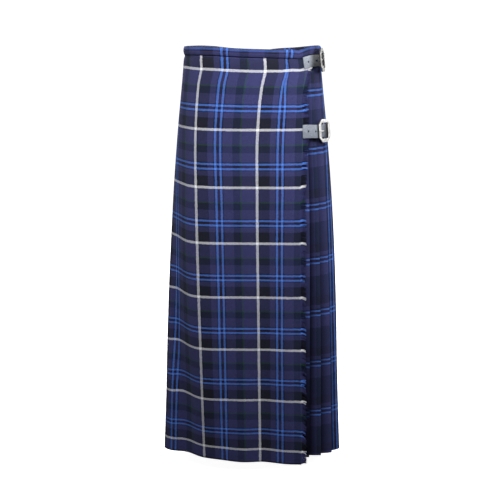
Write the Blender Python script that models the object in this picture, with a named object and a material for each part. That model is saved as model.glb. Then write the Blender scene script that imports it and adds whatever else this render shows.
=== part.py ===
"""Full-length wrap kilt, kept in the hollow form that it has when it is worn.

Metres, +Z up. The front is -Y, the wearer's left side is +X, and the origin is the middle of the
waist at the height of the waistband's top edge, where the wearer's waist holds the kilt up.

The whole garment follows one surface: a closed outline round the body at each height, from the
SECTIONS table. A point on it is given by its height, its distance round the outline from the middle
of the front (positive towards +X), and its distance out from the outline.
"""

import math

import bmesh
import bpy
import numpy as np
from mathutils import Vector

# ---------------------------------------------------------------- cloth
CLOTH = 0.0014  # a doubled or lined wool cloth wall
GAP = 0.0003  # between pieces that touch
LAYER_GAP = 0.0016  # between the two aprons
HEM = -0.965  # the aprons' hem
PLEAT_HEM = -0.961

# The outline round the body at each height. front and back are distances from the origin; widest_y
# is where the outline is widest; the powers are those of a superellipse, left and right of the middle
# of the front; fold is the soft trough down the left of the front, at a share of the half width.
SECTION_COLUMNS = (
    "height", "half_width", "widest_y", "front", "back",
    "left_power", "right_power", "fold_at", "fold_depth",
)
SECTIONS = (
    (0.000, 0.1515, 0.000, 0.1035, 0.1010, 2.20, 2.20, 0.93, 0.000),
    (-0.052, 0.1560, 0.002, 0.1085, 0.1070, 2.35, 2.30, 0.93, 0.002),
    (-0.172, 0.1695, 0.002, 0.1125, 0.1180, 2.55, 2.40, 0.95, 0.012),
    (-0.299, 0.1820, 0.000, 0.1160, 0.1240, 2.95, 2.40, 0.95, 0.030),
    (-0.425, 0.1915, -0.012, 0.1165, 0.1260, 3.08, 2.30, 0.94, 0.043),
    (-0.552, 0.1990, -0.022, 0.1165, 0.1280, 3.10, 2.20, 0.90, 0.044),
    (-0.678, 0.2050, -0.030, 0.1165, 0.1310, 2.60, 2.10, 0.86, 0.037),
    (-0.805, 0.2100, -0.036, 0.1165, 0.1350, 2.07, 1.95, 0.80, 0.024),
    (-0.965, 0.2165, -0.047, 0.1175, 0.1400, 1.58, 1.85, 0.75, 0.010),
)
BACK_POWER = 2.0
FOLD_SPREAD = 0.13  # of the half width
FOLD_BEHIND = 0.25  # how far it goes on round the side, as the same share
OUTLINE_SAMPLES = 1440

# How far the rim stands above or below its own height, round the front and round the back: it sinks in
# the middle of the back and waves beside the dart on the right of the front. It fades out down the cloth.
RIM_COLUMNS = ("x", "front", "back")
RIM = (
    (-0.152, 0.0008, 0.0008),
    (-0.120, 0.0018, 0.0008),
    (-0.090, 0.0018, -0.0010),
    (-0.060, 0.0002, -0.0045),
    (-0.030, -0.0012, -0.0072),
    (0.000, -0.0023, -0.0100),
    (0.030, -0.0030, -0.0100),
    (0.060, -0.0040, -0.0065),
    (0.088, -0.0043, -0.0045),
    (0.099, -0.0056, -0.0038),
    (0.108, -0.0026, -0.0030),
    (0.120, 0.0014, -0.0015),
    (0.152, 0.0026, 0.0026),
)
RIM_FADES_AT = -0.20
# The aprons' hem rises towards the left side.
HEM_RISE = 0.0045
HEM_RISE_FROM, HEM_RISE_TO = 0.02, 0.11
HEM_RISE_FADES_AT = -0.85

# The heights at which every wall has a row of points, so that walls that lie on each other bend together.
TOP_OF_CLOTH = -0.0015
LEVELS = (
    TOP_OF_CLOTH, -0.0175, -0.052, -0.100, -0.155, -0.205, -0.270,
    -0.350, -0.450, -0.570, -0.700, -0.830, HEM,
)
PLEAT_LEVELS = LEVELS[:-1] + (PLEAT_HEM,)

# ---------------------------------------------------------------- outer apron
APRON_STEPS = 46
# The free, fringed edge, and how far it stands out from the outline, over the pleats beneath it.
EDGE_COLUMNS = ("height", "edge_x", "lift")
EDGE = (
    (0.000, 0.1325, 0.0030),
    (-0.021, 0.1290, 0.0032),
    (-0.052, 0.1180, 0.0040),
    (-0.100, 0.1100, 0.0058),
    (-0.155, 0.1110, 0.0080),
    (-0.200, 0.1110, 0.0095),
    (-0.299, 0.1065, 0.0125),
    (-0.425, 0.1080, 0.0145),
    (-0.552, 0.1100, 0.0155),
    (-0.678, 0.1120, 0.0180),
    (-0.805, 0.1140, 0.0215),
    (-0.965, 0.1165, 0.0250),
)
LIFT_STARTS_X = 0.020
LIFT_POWER = 1.3

# ---------------------------------------------------------------- pleats
PLEAT_NODES = (("pleats_right", 8), ("pleats_back", 7), ("pleats_left", 7))
PLEATS = sum(count for _, count in PLEAT_NODES)
LAST_EDGE_SHARE = 0.90  # of the half width, on the left of the back
# first_edge_x is where the first fold edge lies; height is the rise of a pleat from its inner fold to
# its edge; hidden is how far it runs on beneath the one before it.
PLEAT_COLUMNS = ("height", "first_edge_x", "rise", "hidden")
PLEAT_TABLE = (
    (0.000, 0.1190, 0.0066, 0.0150),
    (-0.100, 0.1205, 0.0066, 0.0155),
    (-0.205, 0.1225, 0.0070, 0.0165),
    (-0.350, 0.1275, 0.0095, 0.0185),
    (-0.500, 0.1310, 0.0130, 0.0200),
    (-0.700, 0.1345, 0.0165, 0.0215),
    (-0.965, 0.1375, 0.0200, 0.0230),
)

# ---------------------------------------------------------------- under apron
UNDER_STEPS = 24
UNDER_LEFT_SHARE = 0.80  # of the half width, where its own free edge lies
UNDER_JOIN_SPREAD = 0.090  # how far round it takes to leave the first pleat's inner fold

# ---------------------------------------------------------------- waistband
BAND_HEIGHT = 0.0175
BAND_WALL = 0.0013
BAND_STEP = 0.011

# ---------------------------------------------------------------- fringe
STRANDS = 216
FRINGE_TOP = -0.030
STRIP_WIDTH = 0.0018
STRAND_LENGTH = 0.0125
STRAND_THICK = 0.0013
STRAND_SHARE = 0.56  # of its place along the strip
STRAND_UNEVEN = 0.0022
STRAND_LEAN = 0.5  # how much of the lift a strand's tip loses, towards the pleats
STRAND_SEED = 11

# ---------------------------------------------------------------- straps and buckles
STRAP_THICK = 0.0018
STRAP_CLEAR = 0.0006
STRAP_PAST_EDGE = 0.0035  # how far it runs on past the apron's edge before it turns in
HOLE_RADIUS = 0.0019
HOLE_PITCH = 0.0200
SLOT_LENGTH = 0.0075
SLOT_WIDTH = 0.0042
SLOT_FROM_BAR = 0.0051
TAIL_ON_BODY = 0.042
TAIL_END_SHARE = 0.35  # of the strap's width, at the end of its tail
BUCKLE_LONG = 0.040
BUCKLE_TALL = 0.051
RAIL = 0.005
FRAME_BACK = 0.0034
FRAME_FRONT = 0.0066
FRAME_CHAMFER = 0.0011
CORNER_CUT = 0.011
BAR_RADIUS = 0.0011
BAR_OUT = 0.0034
CHAPE_WIDTH = 0.024
CHAPE_THICK = 0.0011
PRONG_THICK = 0.0012
PRONG_WIDTH = 0.0028
NOTCH_WIDTH = 0.0038
# Each buckle's middle, its turn away from the front and its lean out at the foot; and its strap: where it
# is sewn on, the slant of that end, its width, and how far out its tail and the chape lie on the body.
STRAP_COLUMNS = (
    "name", "middle_x", "middle_y", "buckle_z", "turn_degrees", "lean",
    "sewn_x", "sewn_z", "slant", "width", "body_out",
)
STRAPS = (
    ("upper", 0.1490, -0.0460, -0.0275, 73.0, 0.12, 0.1085, -0.0370, 0.0035, 0.0270, 0.0023),
    ("lower", 0.1562, -0.0630, -0.1800, 48.0, 0.10, 0.1080, -0.1790, 0.0000, 0.0315, 0.0008),
)

MILLIMETRES = 0.001
EPSILON = 1e-9


# ================================================================ tables and outlines
def column(table, columns, name, height):
    """A column of a table at a height, on a smooth curve through its rows."""
    rows = sorted(table)
    at = np.array([row[0] for row in rows])
    values = np.array([row[columns.index(name)] for row in rows])
    slopes = np.gradient(values, at)
    height = min(max(height, at[0]), at[-1])
    k = int(min(np.searchsorted(at, height, side="right") - 1, len(at) - 2))
    step = at[k + 1] - at[k]
    t = (height - at[k]) / step
    return (
        values[k] * (1 + 2 * t) * (1 - t) ** 2
        + step * slopes[k] * t * (1 - t) ** 2
        + values[k + 1] * t * t * (3 - 2 * t)
        + step * slopes[k + 1] * t * t * (t - 1)
    )


def section(height, name):
    return column(SECTIONS, SECTION_COLUMNS, name, height)


class Outline:
    """The closed outline round the body at one height."""

    def __init__(self, height):
        self.height = height
        half_width = section(height, "half_width")
        widest_y = section(height, "widest_y")
        front = section(height, "front")
        back = section(height, "back")
        turn = np.linspace(0.0, 2.0 * math.pi, OUTLINE_SAMPLES, endpoint=False)
        across, ahead = np.sin(turn), np.cos(turn)
        front_power = np.where(across < 0, section(height, "left_power"), section(height, "right_power"))
        power = np.where(ahead > 0, front_power, BACK_POWER)
        x = half_width * np.sign(across) * np.abs(across) ** (2.0 / power)
        reach = np.where(ahead > 0, -(front + widest_y), back - widest_y)
        y = widest_y + reach * np.abs(ahead) ** (2.0 / power)
        share, fold_at = -x / half_width, section(height, "fold_at")
        ahead_of_side = np.exp(-(((share - fold_at) / FOLD_SPREAD) ** 2))
        behind_side = np.exp(-(((1.0 - fold_at) / FOLD_SPREAD) ** 2) - ((1.0 - share) / FOLD_BEHIND) ** 2)
        trough = section(height, "fold_depth") * np.where(ahead > 0, ahead_of_side, behind_side)
        y = y + np.where(x < 0, trough, 0.0)
        self.half_width, self.front, self.back = half_width, front, back
        self.x, self.y = np.append(x, x[0]), np.append(y, y[0])
        self.s = np.concatenate([[0.0], np.cumsum(np.hypot(np.diff(self.x), np.diff(self.y)))])
        self.length = self.s[-1]

    def point(self, s):
        s = s % self.length
        return np.array([np.interp(s, self.s, self.x), np.interp(s, self.s, self.y)])

    def out(self, s, reach=0.002):
        ahead = self.point(s + reach) - self.point(s - reach)
        return np.array([ahead[1], -ahead[0]]) / max(np.hypot(*ahead), EPSILON)

    def right_front(self, x):
        """The distance round to the point of the right half of the front at x."""
        quarter = OUTLINE_SAMPLES // 4
        return float(np.interp(x, self.x[: quarter + 1], self.s[: quarter + 1]))

    def left_front(self, share):
        """The distance round, below zero, to a share of the half width on the left of the front."""
        quarter = 3 * OUTLINE_SAMPLES // 4
        return float(np.interp(-share * self.half_width, self.x[quarter:], self.s[quarter:])) - self.length

    def left_back(self, share):
        """The distance round to a share of the half width on the left of the back."""
        half, quarter = OUTLINE_SAMPLES // 2, 3 * OUTLINE_SAMPLES // 4
        return float(np.interp(share * self.half_width, -self.x[half : quarter + 1], self.s[half : quarter + 1]))


OUTLINES = {}


def outline(height):
    key = round(height, 6)
    if key not in OUTLINES:
        OUTLINES[key] = Outline(height)
    return OUTLINES[key]


def smooth_step(t):
    t = min(max(t, 0.0), 1.0)
    return t * t * (3 - 2 * t)


def rise(height, x, y):
    """How far the rim and the hem lift the cloth at a point of an outline."""
    side = column(RIM, RIM_COLUMNS, "front" if y < 0 else "back", x)
    at_rim = side * smooth_step(1.0 - height / RIM_FADES_AT)
    at_left = smooth_step((-x - HEM_RISE_FROM) / (HEM_RISE_TO - HEM_RISE_FROM)) if y < 0 else 0.0
    at_hem = HEM_RISE * at_left * smooth_step((height - HEM_RISE_FADES_AT) / (HEM - HEM_RISE_FADES_AT))
    return at_rim + at_hem


def place(height, s, out):
    """The point at a height, a distance round and a distance out."""
    round_it = outline(height)
    on_it = round_it.point(s)
    x, y = on_it + out * round_it.out(s)
    return np.array([x, y, height + rise(height, *on_it)])


# ================================================================ where each layer lies
def pleat_value(height, name):
    return column(PLEAT_TABLE, PLEAT_COLUMNS, name, height)


def edge_value(height, name):
    return column(EDGE, EDGE_COLUMNS, name, height)


def first_edge(height):
    return outline(height).right_front(pleat_value(height, "first_edge_x"))


def last_edge(height):
    return outline(height).left_back(LAST_EDGE_SHARE)


def reveal(height):
    """How much of each pleat shows."""
    return (last_edge(height) - first_edge(height)) / (PLEATS - 1)


def pleat_floor(height):
    """How far out the middle of the cloth lies at a pleat's inner fold."""
    return -pleat_value(height, "rise") - CLOTH / 2


def pleat_slope(height):
    return pleat_value(height, "rise") / (reveal(height) + pleat_value(height, "hidden"))


def apron_ends(height):
    """The distances round to the outer apron's free edge and to its end beneath the last pleat."""
    start = outline(height).right_front(edge_value(height, "edge_x"))
    end = last_edge(height) - pleat_value(height, "hidden") + 0.004 - outline(height).length
    return start, end


def apron_out(height, s):
    """How far out the outer apron's outer face lies."""
    lift = edge_value(height, "lift")
    x = outline(height).point(s)[0]
    if s > 0:
        along = (x - LIFT_STARTS_X) / (edge_value(height, "edge_x") - LIFT_STARTS_X)
        return lift * min(max(along, 0.0), 1.0) ** LIFT_POWER
    past_edge = s - (last_edge(height) - outline(height).length)
    rising = pleat_floor(height) + CLOTH / 2 + pleat_slope(height) * (past_edge + pleat_value(height, "hidden"))
    return min(0.0, rising)


def under_ends(height):
    start = first_edge(height) - reveal(height) - pleat_value(height, "hidden") - GAP
    return start, outline(height).left_front(UNDER_LEFT_SHARE)


def under_out(height, s):
    """How far out the under apron's outer face lies."""
    flat = -CLOTH - LAYER_GAP - BAND_WALL - GAP
    joined = pleat_floor(height) + CLOTH / 2
    nearness = math.exp(-(((under_ends(height)[0] - s) / UNDER_JOIN_SPREAD) ** 2))
    return flat + (min(joined, flat) - flat) * nearness


# ================================================================ mesh helpers
def material(name, colour, roughness, metallic=0.0):
    made = bpy.data.materials.new(name)
    made.use_nodes = True
    shader = made.node_tree.nodes["Principled BSDF"]
    shader.inputs["Base Color"].default_value = (*colour, 1.0)
    shader.inputs["Roughness"].default_value = roughness
    shader.inputs["Metallic"].default_value = metallic
    return made


def add_object(name, mesh_edit, finish, smooth_angle=None):
    """A new object from a bmesh, closed and facing out, at the origin."""
    bmesh.ops.remove_doubles(mesh_edit, verts=mesh_edit.verts, dist=1e-5)
    bmesh.ops.dissolve_degenerate(mesh_edit, edges=mesh_edit.edges, dist=1e-6)
    bmesh.ops.recalc_face_normals(mesh_edit, faces=mesh_edit.faces)
    mesh = bpy.data.meshes.new(name)
    mesh_edit.to_mesh(mesh)
    mesh_edit.free()
    if smooth_angle:
        mesh.shade_smooth()
        mesh.set_sharp_from_angle(angle=math.radians(smooth_angle))
    made = bpy.data.objects.new(name, mesh)
    mesh.materials.append(finish)
    bpy.context.collection.objects.link(made)
    return made


def wall(name, outer, inner, finish, smooth_angle=40):
    """A closed wall between two grids of points, given as rows of equal length."""
    bm = bmesh.new()
    sides = [[[bm.verts.new(Vector(p)) for p in row] for row in grid] for grid in (outer, inner)]
    rows, steps = len(outer), len(outer[0])
    for grid in sides:
        for i in range(rows - 1):
            for j in range(steps - 1):
                bm.faces.new((grid[i][j], grid[i][j + 1], grid[i + 1][j + 1], grid[i + 1][j]))
    first, second = sides
    for i in (0, rows - 1):
        for j in range(steps - 1):
            bm.faces.new((first[i][j], first[i][j + 1], second[i][j + 1], second[i][j]))
    for j in (0, steps - 1):
        for i in range(rows - 1):
            bm.faces.new((first[i][j], first[i + 1][j], second[i + 1][j], second[i][j]))
    return add_object(name, bm, finish, smooth_angle)


def tube_of_rings(name, rings, finish, closed=False, smooth_angle=30, caps=None):
    """A solid through rings of points: a bar with two ends, or a closed ring. caps lists the corners of
    each face of an end that is more than one face."""
    bm = bmesh.new()
    loops = [[bm.verts.new(Vector(p)) for p in ring] for ring in rings]
    count = len(loops[0])
    pairs = list(zip(loops, loops[1:] + loops[:1])) if closed else list(zip(loops, loops[1:]))
    for one, two in pairs:
        for k in range(count):
            bm.faces.new((one[k], one[(k + 1) % count], two[(k + 1) % count], two[k]))
    for loop in () if closed else (loops[0], loops[-1]):
        for corners in caps or [range(count)]:
            bm.faces.new([loop[k] for k in corners])
    return add_object(name, bm, finish, smooth_angle)


def offset_path(path, half):
    """The two sides of a flat path, half a thickness away, mitred at its corners."""
    path = [np.array(p, float) for p in path]
    sides = ([], [])
    for i, p in enumerate(path):
        runs = []
        if i > 0:
            runs.append((p - path[i - 1]) / np.linalg.norm(p - path[i - 1]))
        if i < len(path) - 1:
            runs.append((path[i + 1] - p) / np.linalg.norm(path[i + 1] - p))
        normals = [np.array([-r[1], r[0]]) for r in runs]
        mean = sum(normals) / np.linalg.norm(sum(normals))
        mitre = half / max(float(mean @ normals[0]), 0.3)
        sides[0].append(p + mitre * mean)
        sides[1].append(p - mitre * mean)
    return sides


def boolean(target, cutter, operation):
    made = target.modifiers.new(operation.lower(), "BOOLEAN")
    made.operation = operation
    made.object = cutter
    cutter.hide_render = True
    cutter.display_type = "WIRE"


# ================================================================ the cloth
def build_outer_apron(finish):
    outer, inner = [], []
    for height in LEVELS:
        start, end = apron_ends(height)
        stations = np.linspace(start, end, APRON_STEPS + 1)
        outs = [apron_out(height, s) for s in stations]
        outer.append([place(height, s, out) for s, out in zip(stations, outs)])
        inner.append([place(height, s, out - CLOTH) for s, out in zip(stations, outs)])
    wall("outer_apron", outer, inner, finish)


def build_under_apron(finish):
    outer, inner = [], []
    for height in LEVELS:
        start, end = under_ends(height)
        stations = np.linspace(start, end, UNDER_STEPS + 1)
        outs = [under_out(height, s) for s in stations]
        outer.append([place(height, s, out) for s, out in zip(stations, outs)])
        inner.append([place(height, s, out - CLOTH) for s, out in zip(stations, outs)])
    wall("under_apron", outer, inner, finish)


def pleat_path(height, first, last):
    """The middle of the cloth through pleats first to last, as (distance round, distance out)."""
    show, hidden = reveal(height), pleat_value(height, "hidden")
    floor, rise = pleat_floor(height), pleat_value(height, "rise")
    path = []
    for i in range(first, last + 1):
        edge = first_edge(height) + i * show
        start = edge - show - hidden
        path.append((start, floor))
        path.append(((start + edge) / 2 + hidden / 4, floor + rise * (0.5 + hidden / 4 / (show + hidden))))
        path.append((edge, floor + rise))
    last_fold = first_edge(height) + last * show - hidden
    path.append((last_fold + hidden / 2, floor + rise / 2))
    return path


def folded_sides(path):
    """Both faces of cloth along a path with sharp folds: each fold is two points on its outside and one
    mitred point on its inside."""
    points = [np.array(p, float) for p in path]
    half = CLOTH / 2
    one, two = [], []
    for i, p in enumerate(points):
        before = (p - points[i - 1]) / np.linalg.norm(p - points[i - 1]) if i else None
        after = (points[i + 1] - p) / np.linalg.norm(points[i + 1] - p) if i < len(points) - 1 else None
        if before is None or after is None:
            run = after if before is None else before
            normal = np.array([-run[1], run[0]])
            one.append(p + half * normal)
            two.append(p - half * normal)
            continue
        n1, n2 = np.array([-before[1], before[0]]), np.array([-after[1], after[0]])
        if before @ after > 0:
            mean = (n1 + n2) / np.linalg.norm(n1 + n2)
            one.append(p + half / (mean @ n1) * mean)
            two.append(p - half / (mean @ n1) * mean)
            continue
        inside = (after - before) / np.linalg.norm(after - before)
        back = half / max(abs(inside @ n1), 0.02)
        turning = before[0] * after[1] - before[1] * after[0]
        outsides = [p - math.copysign(half, turning) * n for n in (n1, n2)]
        for side, sign in ((one, 1.0), (two, -1.0)):
            if sign * turning > 0:
                side.extend([p + back * inside] * 2)
            else:
                side.extend(outsides)
    return one, two


def build_pleats(finish):
    first = 0
    for name, count in PLEAT_NODES:
        last = first + count - 1
        grids = ([], [])
        for height in PLEAT_LEVELS:
            path = pleat_path(height, first, last)
            if first:
                show = reveal(height)
                fold = np.array(path[0])
                top = pleat_floor(height) + pleat_value(height, "rise")
                edge_before = np.array([first_edge(height) + (first - 1) * show, top])
                halfway = (fold + edge_before) / 2
                step = (fold - halfway) / np.linalg.norm(fold - halfway)
                path.insert(0, tuple(halfway + GAP * step))
            for side, grid in zip(folded_sides(path), grids):
                grid.append([place(height, s, out) for s, out in side])
        wall(name, grids[0], grids[1], finish, 20)
        first = last + 1


# ================================================================ the waistband
def channel(name, top_span, low_span, outer_face, inner_face, finish):
    """A strip on the outside of the cloth that turns over its top edge, between two distances round."""
    steps = max(2, int(abs(top_span[1] - top_span[0]) / BAND_STEP))
    rings = []
    for s_top, s_low in zip(np.linspace(*top_span, steps + 1), np.linspace(*low_span, steps + 1)):
        low = -BAND_HEIGHT
        face_low, face_top = outer_face(low, s_low), outer_face(TOP_OF_CLOTH, s_top)
        back_top = inner_face(TOP_OF_CLOTH, s_top)
        over_rim, under_lip = np.array([0.0, 0.0, -TOP_OF_CLOTH]), np.array([0.0, 0.0, 2 * GAP])
        rings.append(
            [
                place(low, s_low, face_low + GAP),
                place(low, s_low, face_low + GAP + BAND_WALL),
                place(TOP_OF_CLOTH, s_top, face_top + GAP + BAND_WALL) + over_rim,
                place(TOP_OF_CLOTH, s_top, back_top) + over_rim,
                place(TOP_OF_CLOTH, s_top, back_top) + under_lip,
                place(TOP_OF_CLOTH, s_top, face_top + GAP) + under_lip,
            ]
        )
    tube_of_rings(name, rings, finish, caps=((0, 1, 2, 5), (2, 3, 4, 5)))


def build_waistband(finish):
    apron_spans, pleat_spans = [], []
    for height in (TOP_OF_CLOTH, -BAND_HEIGHT):
        edge, last = apron_ends(height)[0], last_edge(height)
        apron_spans.append((edge, last - outline(height).length + 2 * GAP))
        pleat_spans.append((edge + 2 * GAP, last - GAP))
    channel(
        "waistband_apron",
        *apron_spans,
        lambda height, s: max(apron_out(height, s), 0.0),
        lambda height, s: apron_out(height, s) - CLOTH,
        finish,
    )
    channel(
        "waistband_pleats",
        *pleat_spans,
        lambda height, s: CLOTH / 4,
        lambda height, s: pleat_floor(height) - CLOTH / 2,
        finish,
    )
    channel(
        "waistband_under",
        under_ends(TOP_OF_CLOTH),
        under_ends(-BAND_HEIGHT),
        under_out,
        lambda height, s: under_out(height, s) - CLOTH,
        finish,
    )


# ================================================================ the fringe
def edge_point(height, along, out):
    """A point beside the outer apron's free edge, straight between the levels as the apron's wall is."""
    columns = []
    for level in LEVELS:
        start, _ = apron_ends(level)
        columns.append(place(level, start + along, apron_out(level, start) + out))
    columns = np.array(columns[::-1])
    return np.array([np.interp(height, LEVELS[::-1], columns[:, k]) for k in range(3)])


def build_fringe(finish):
    """A narrow strip down the apron's edge, with a tapered strand standing out of it at each place."""
    rng = np.random.default_rng(STRAND_SEED)
    bottom = HEM + 0.002
    pitch = (FRINGE_TOP - bottom) / STRANDS
    bm = bmesh.new()

    def corner(height, along, out):
        return bm.verts.new(Vector(edge_point(height, along, out)))

    inner_edge, outer_edge = GAP, GAP + STRIP_WIDTH
    heights = []
    for i in range(STRANDS):
        top = FRINGE_TOP - i * pitch
        heights += [top, top - pitch * STRAND_SHARE]
    heights.append(bottom)
    rows = []
    for height in heights:
        rows.append(
            [
                corner(height, inner_edge, 0.0),
                corner(height, outer_edge, 0.0),
                corner(height, outer_edge, -CLOTH),
                corner(height, inner_edge, -CLOTH),
            ]
        )
    bm.faces.new(rows[0])
    bm.faces.new(rows[-1])
    for i, (up, down) in enumerate(zip(rows, rows[1:])):
        for k in (0, 2, 3):
            bm.faces.new((up[k], up[(k + 1) % 4], down[(k + 1) % 4], down[k]))
        root = (up[1], up[2], down[2], down[1])
        if i % 2:
            bm.faces.new(root)
            continue
        middle = (heights[i] + heights[i + 1]) / 2
        near_hem = min(1.0, max(0.0, (HEM + 0.03 - middle) / 0.03))
        length = STRAND_LENGTH + rng.uniform(-1, 0.4) * STRAND_UNEVEN
        droop = rng.uniform(0.0, 1.0) * 0.0012 + 0.002 * near_hem
        lean = rng.uniform(-1.0, 0.6) * 0.0008 - STRAND_LEAN * edge_value(middle, "lift")
        tips = [
            Vector(edge_point(max(middle - droop, HEM), outer_edge + length, lean + out))
            for out in (-CLOTH / 2 + STRAND_THICK / 3, -CLOTH / 2 - STRAND_THICK / 3)
        ]
        front, back = (bm.verts.new(tip) for tip in tips)
        bm.faces.new((up[1], up[2], back, front))
        bm.faces.new((down[2], down[1], front, back))
        bm.faces.new((down[1], up[1], front))
        bm.faces.new((up[2], down[2], back))
    add_object("apron_fringe", bm, finish)


# ================================================================ straps and buckles
class BuckleFrame:
    """A buckle's own axes: along its strap, up, and out from the body."""

    def __init__(self, row):
        turn = math.radians(row["turn_degrees"])
        level_out = np.array([math.sin(turn), -math.cos(turn), 0.0])
        upright = np.array([0.0, 0.0, 1.0])
        self.middle = np.array([row["middle_x"], row["middle_y"], row["buckle_z"]])
        self.along = np.array([math.cos(turn), math.sin(turn), 0.0])
        self.up = (upright - row["lean"] * level_out) / math.hypot(1.0, row["lean"])
        self.out = (level_out + row["lean"] * upright) / math.hypot(1.0, row["lean"])

    def at(self, along, up, out):
        return self.middle + along * self.along + up * self.up + out * self.out

    def band(self, path, half_thick, half_wide):
        """Four-cornered rings along a path of (along, out)."""
        rings = []
        for (p1, r1), (p2, r2) in zip(*offset_path(path, half_thick)):
            rings.append(
                [
                    self.at(p1, half_wide, r1), self.at(p1, -half_wide, r1),
                    self.at(p2, -half_wide, r2), self.at(p2, half_wide, r2),
                ]
            )
        return rings


def ring_on_body(height, s, slant, out_at, half_thick, half_wide):
    """A four-cornered ring of a band that lies on the body, out_at being the middle of its thickness."""
    top, low = height + half_wide, height - half_wide
    s_top, s_low = s - slant / 2, s + slant / 2
    return [
        place(top, s_top, out_at(top, s_top) + half_thick),
        place(low, s_low, out_at(low, s_low) + half_thick),
        place(low, s_low, out_at(low, s_low) - half_thick),
        place(top, s_top, out_at(top, s_top) - half_thick),
    ]


def nearest_body(height, point):
    """The distance round to the point of the outline's right side that is nearest to a world point."""
    round_it = outline(height)
    half = OUTLINE_SAMPLES // 2
    gaps = np.hypot(round_it.x[:half] - point[0], round_it.y[:half] - point[1])
    return float(round_it.s[int(np.argmin(gaps))])


def path_in_buckle():
    """The middle of the strap through the buckle: under the frame's ends and over the bar."""
    rail_in = BUCKLE_LONG / 2 - RAIL
    under = FRAME_BACK - GAP - STRAP_THICK / 2
    over = BAR_OUT + BAR_RADIUS + 2 * GAP + CHAPE_THICK + STRAP_THICK / 2
    half = [(0.003, over), (0.0112, under), (rail_in + 0.0065, under)]
    return [(-p, r) for p, r in reversed(half)] + half


def build_strap(row, finish):
    frame = BuckleFrame(row)
    half_thick, half_wide = STRAP_THICK / 2, row["width"] / 2
    edge_s = apron_ends(row["sewn_z"])[0]
    sewn_s = outline(row["sewn_z"]).right_front(row["sewn_x"])

    def on_apron(height, s):
        return apron_out(height, min(s, apron_ends(height)[0])) + STRAP_CLEAR + half_thick

    def on_body(height, s):
        return row["body_out"] + CHAPE_THICK + GAP + STRAP_CLEAR + half_thick

    rings = []
    for share, s in zip((1.0, 0.6, 0.2, 0.0), np.linspace(sewn_s, edge_s + STRAP_PAST_EDGE, 4)):
        rings.append(ring_on_body(row["sewn_z"], s, row["slant"] * share, on_apron, half_thick, half_wide))
    rings += frame.band(path_in_buckle(), half_thick, half_wide)
    body_s = nearest_body(row["buckle_z"], frame.at(BUCKLE_LONG / 2 + 0.012, 0.0, 0.0))
    for s in np.linspace(body_s, body_s + TAIL_ON_BODY, 4):
        at_end = s > body_s + TAIL_ON_BODY - EPSILON
        wide = half_wide * (TAIL_END_SHARE if at_end else 1.0)
        rings.append(ring_on_body(row["buckle_z"], s, 0.0, on_body, half_thick, wide))
    strap = tube_of_rings("strap_" + row["name"], rings, finish, smooth_angle=35)
    add_holes(strap, row["name"], rings, frame)


def add_holes(strap, name, rings, frame):
    """Round holes down the strap's middle, and a slot where the prong comes through."""
    middles = np.array([np.mean(ring, axis=0) for ring in rings])
    reached = np.concatenate([[0.0], np.cumsum(np.linalg.norm(np.diff(middles, axis=0), axis=1))])
    slot_out = float(np.interp(-SLOT_FROM_BAR, *np.array(path_in_buckle()).T))
    slot_point = frame.at(-SLOT_FROM_BAR, 0.0, slot_out)
    fine = np.linspace(0.0, reached[-1], 800)
    on_line = np.array([[np.interp(d, reached, middles[:, a]) for a in range(3)] for d in fine])
    slot_at = fine[int(np.argmin(np.linalg.norm(on_line - slot_point, axis=1)))]
    tail_hole = slot_at + 3 * HOLE_PITCH
    for k, distance in enumerate((slot_at - 2 * HOLE_PITCH, slot_at - HOLE_PITCH, slot_at, tail_hole)):
        middle, before, after = (
            np.array([np.interp(distance + step, reached, middles[:, a]) for a in range(3)])
            for step in (0.0, -0.001, 0.001)
        )
        run = (after - before) / np.linalg.norm(after - before)
        normal = np.cross(run, frame.up)
        normal /= np.linalg.norm(normal)
        side = np.cross(normal, run)
        if k == 2:
            corners = [(p * SLOT_LENGTH / 2, q * SLOT_WIDTH / 2) for p, q in ((1, 1), (-1, 1), (-1, -1), (1, -1))]
        else:
            turns = [math.tau * (corner + 0.5) / 8 for corner in range(8)]
            corners = [(HOLE_RADIUS * math.cos(t), HOLE_RADIUS * math.sin(t)) for t in turns]
        cutter_rings = []
        for depth in (-2 * STRAP_THICK, 2 * STRAP_THICK):
            centre = middle + normal * depth
            cutter_rings.append([centre + run * p + side * q for p, q in corners])
        cutter = tube_of_rings(f"cutter_{name}_{k}", cutter_rings, strap.data.materials[0])
        boolean(strap, cutter, "DIFFERENCE")


def octagon(half_long, half_tall, cut):
    return [
        (half_long, half_tall - cut), (half_long - cut, half_tall),
        (-half_long + cut, half_tall), (-half_long, half_tall - cut),
        (-half_long, -half_tall + cut), (-half_long + cut, -half_tall),
        (half_long - cut, -half_tall), (half_long, -half_tall + cut),
    ]


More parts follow.
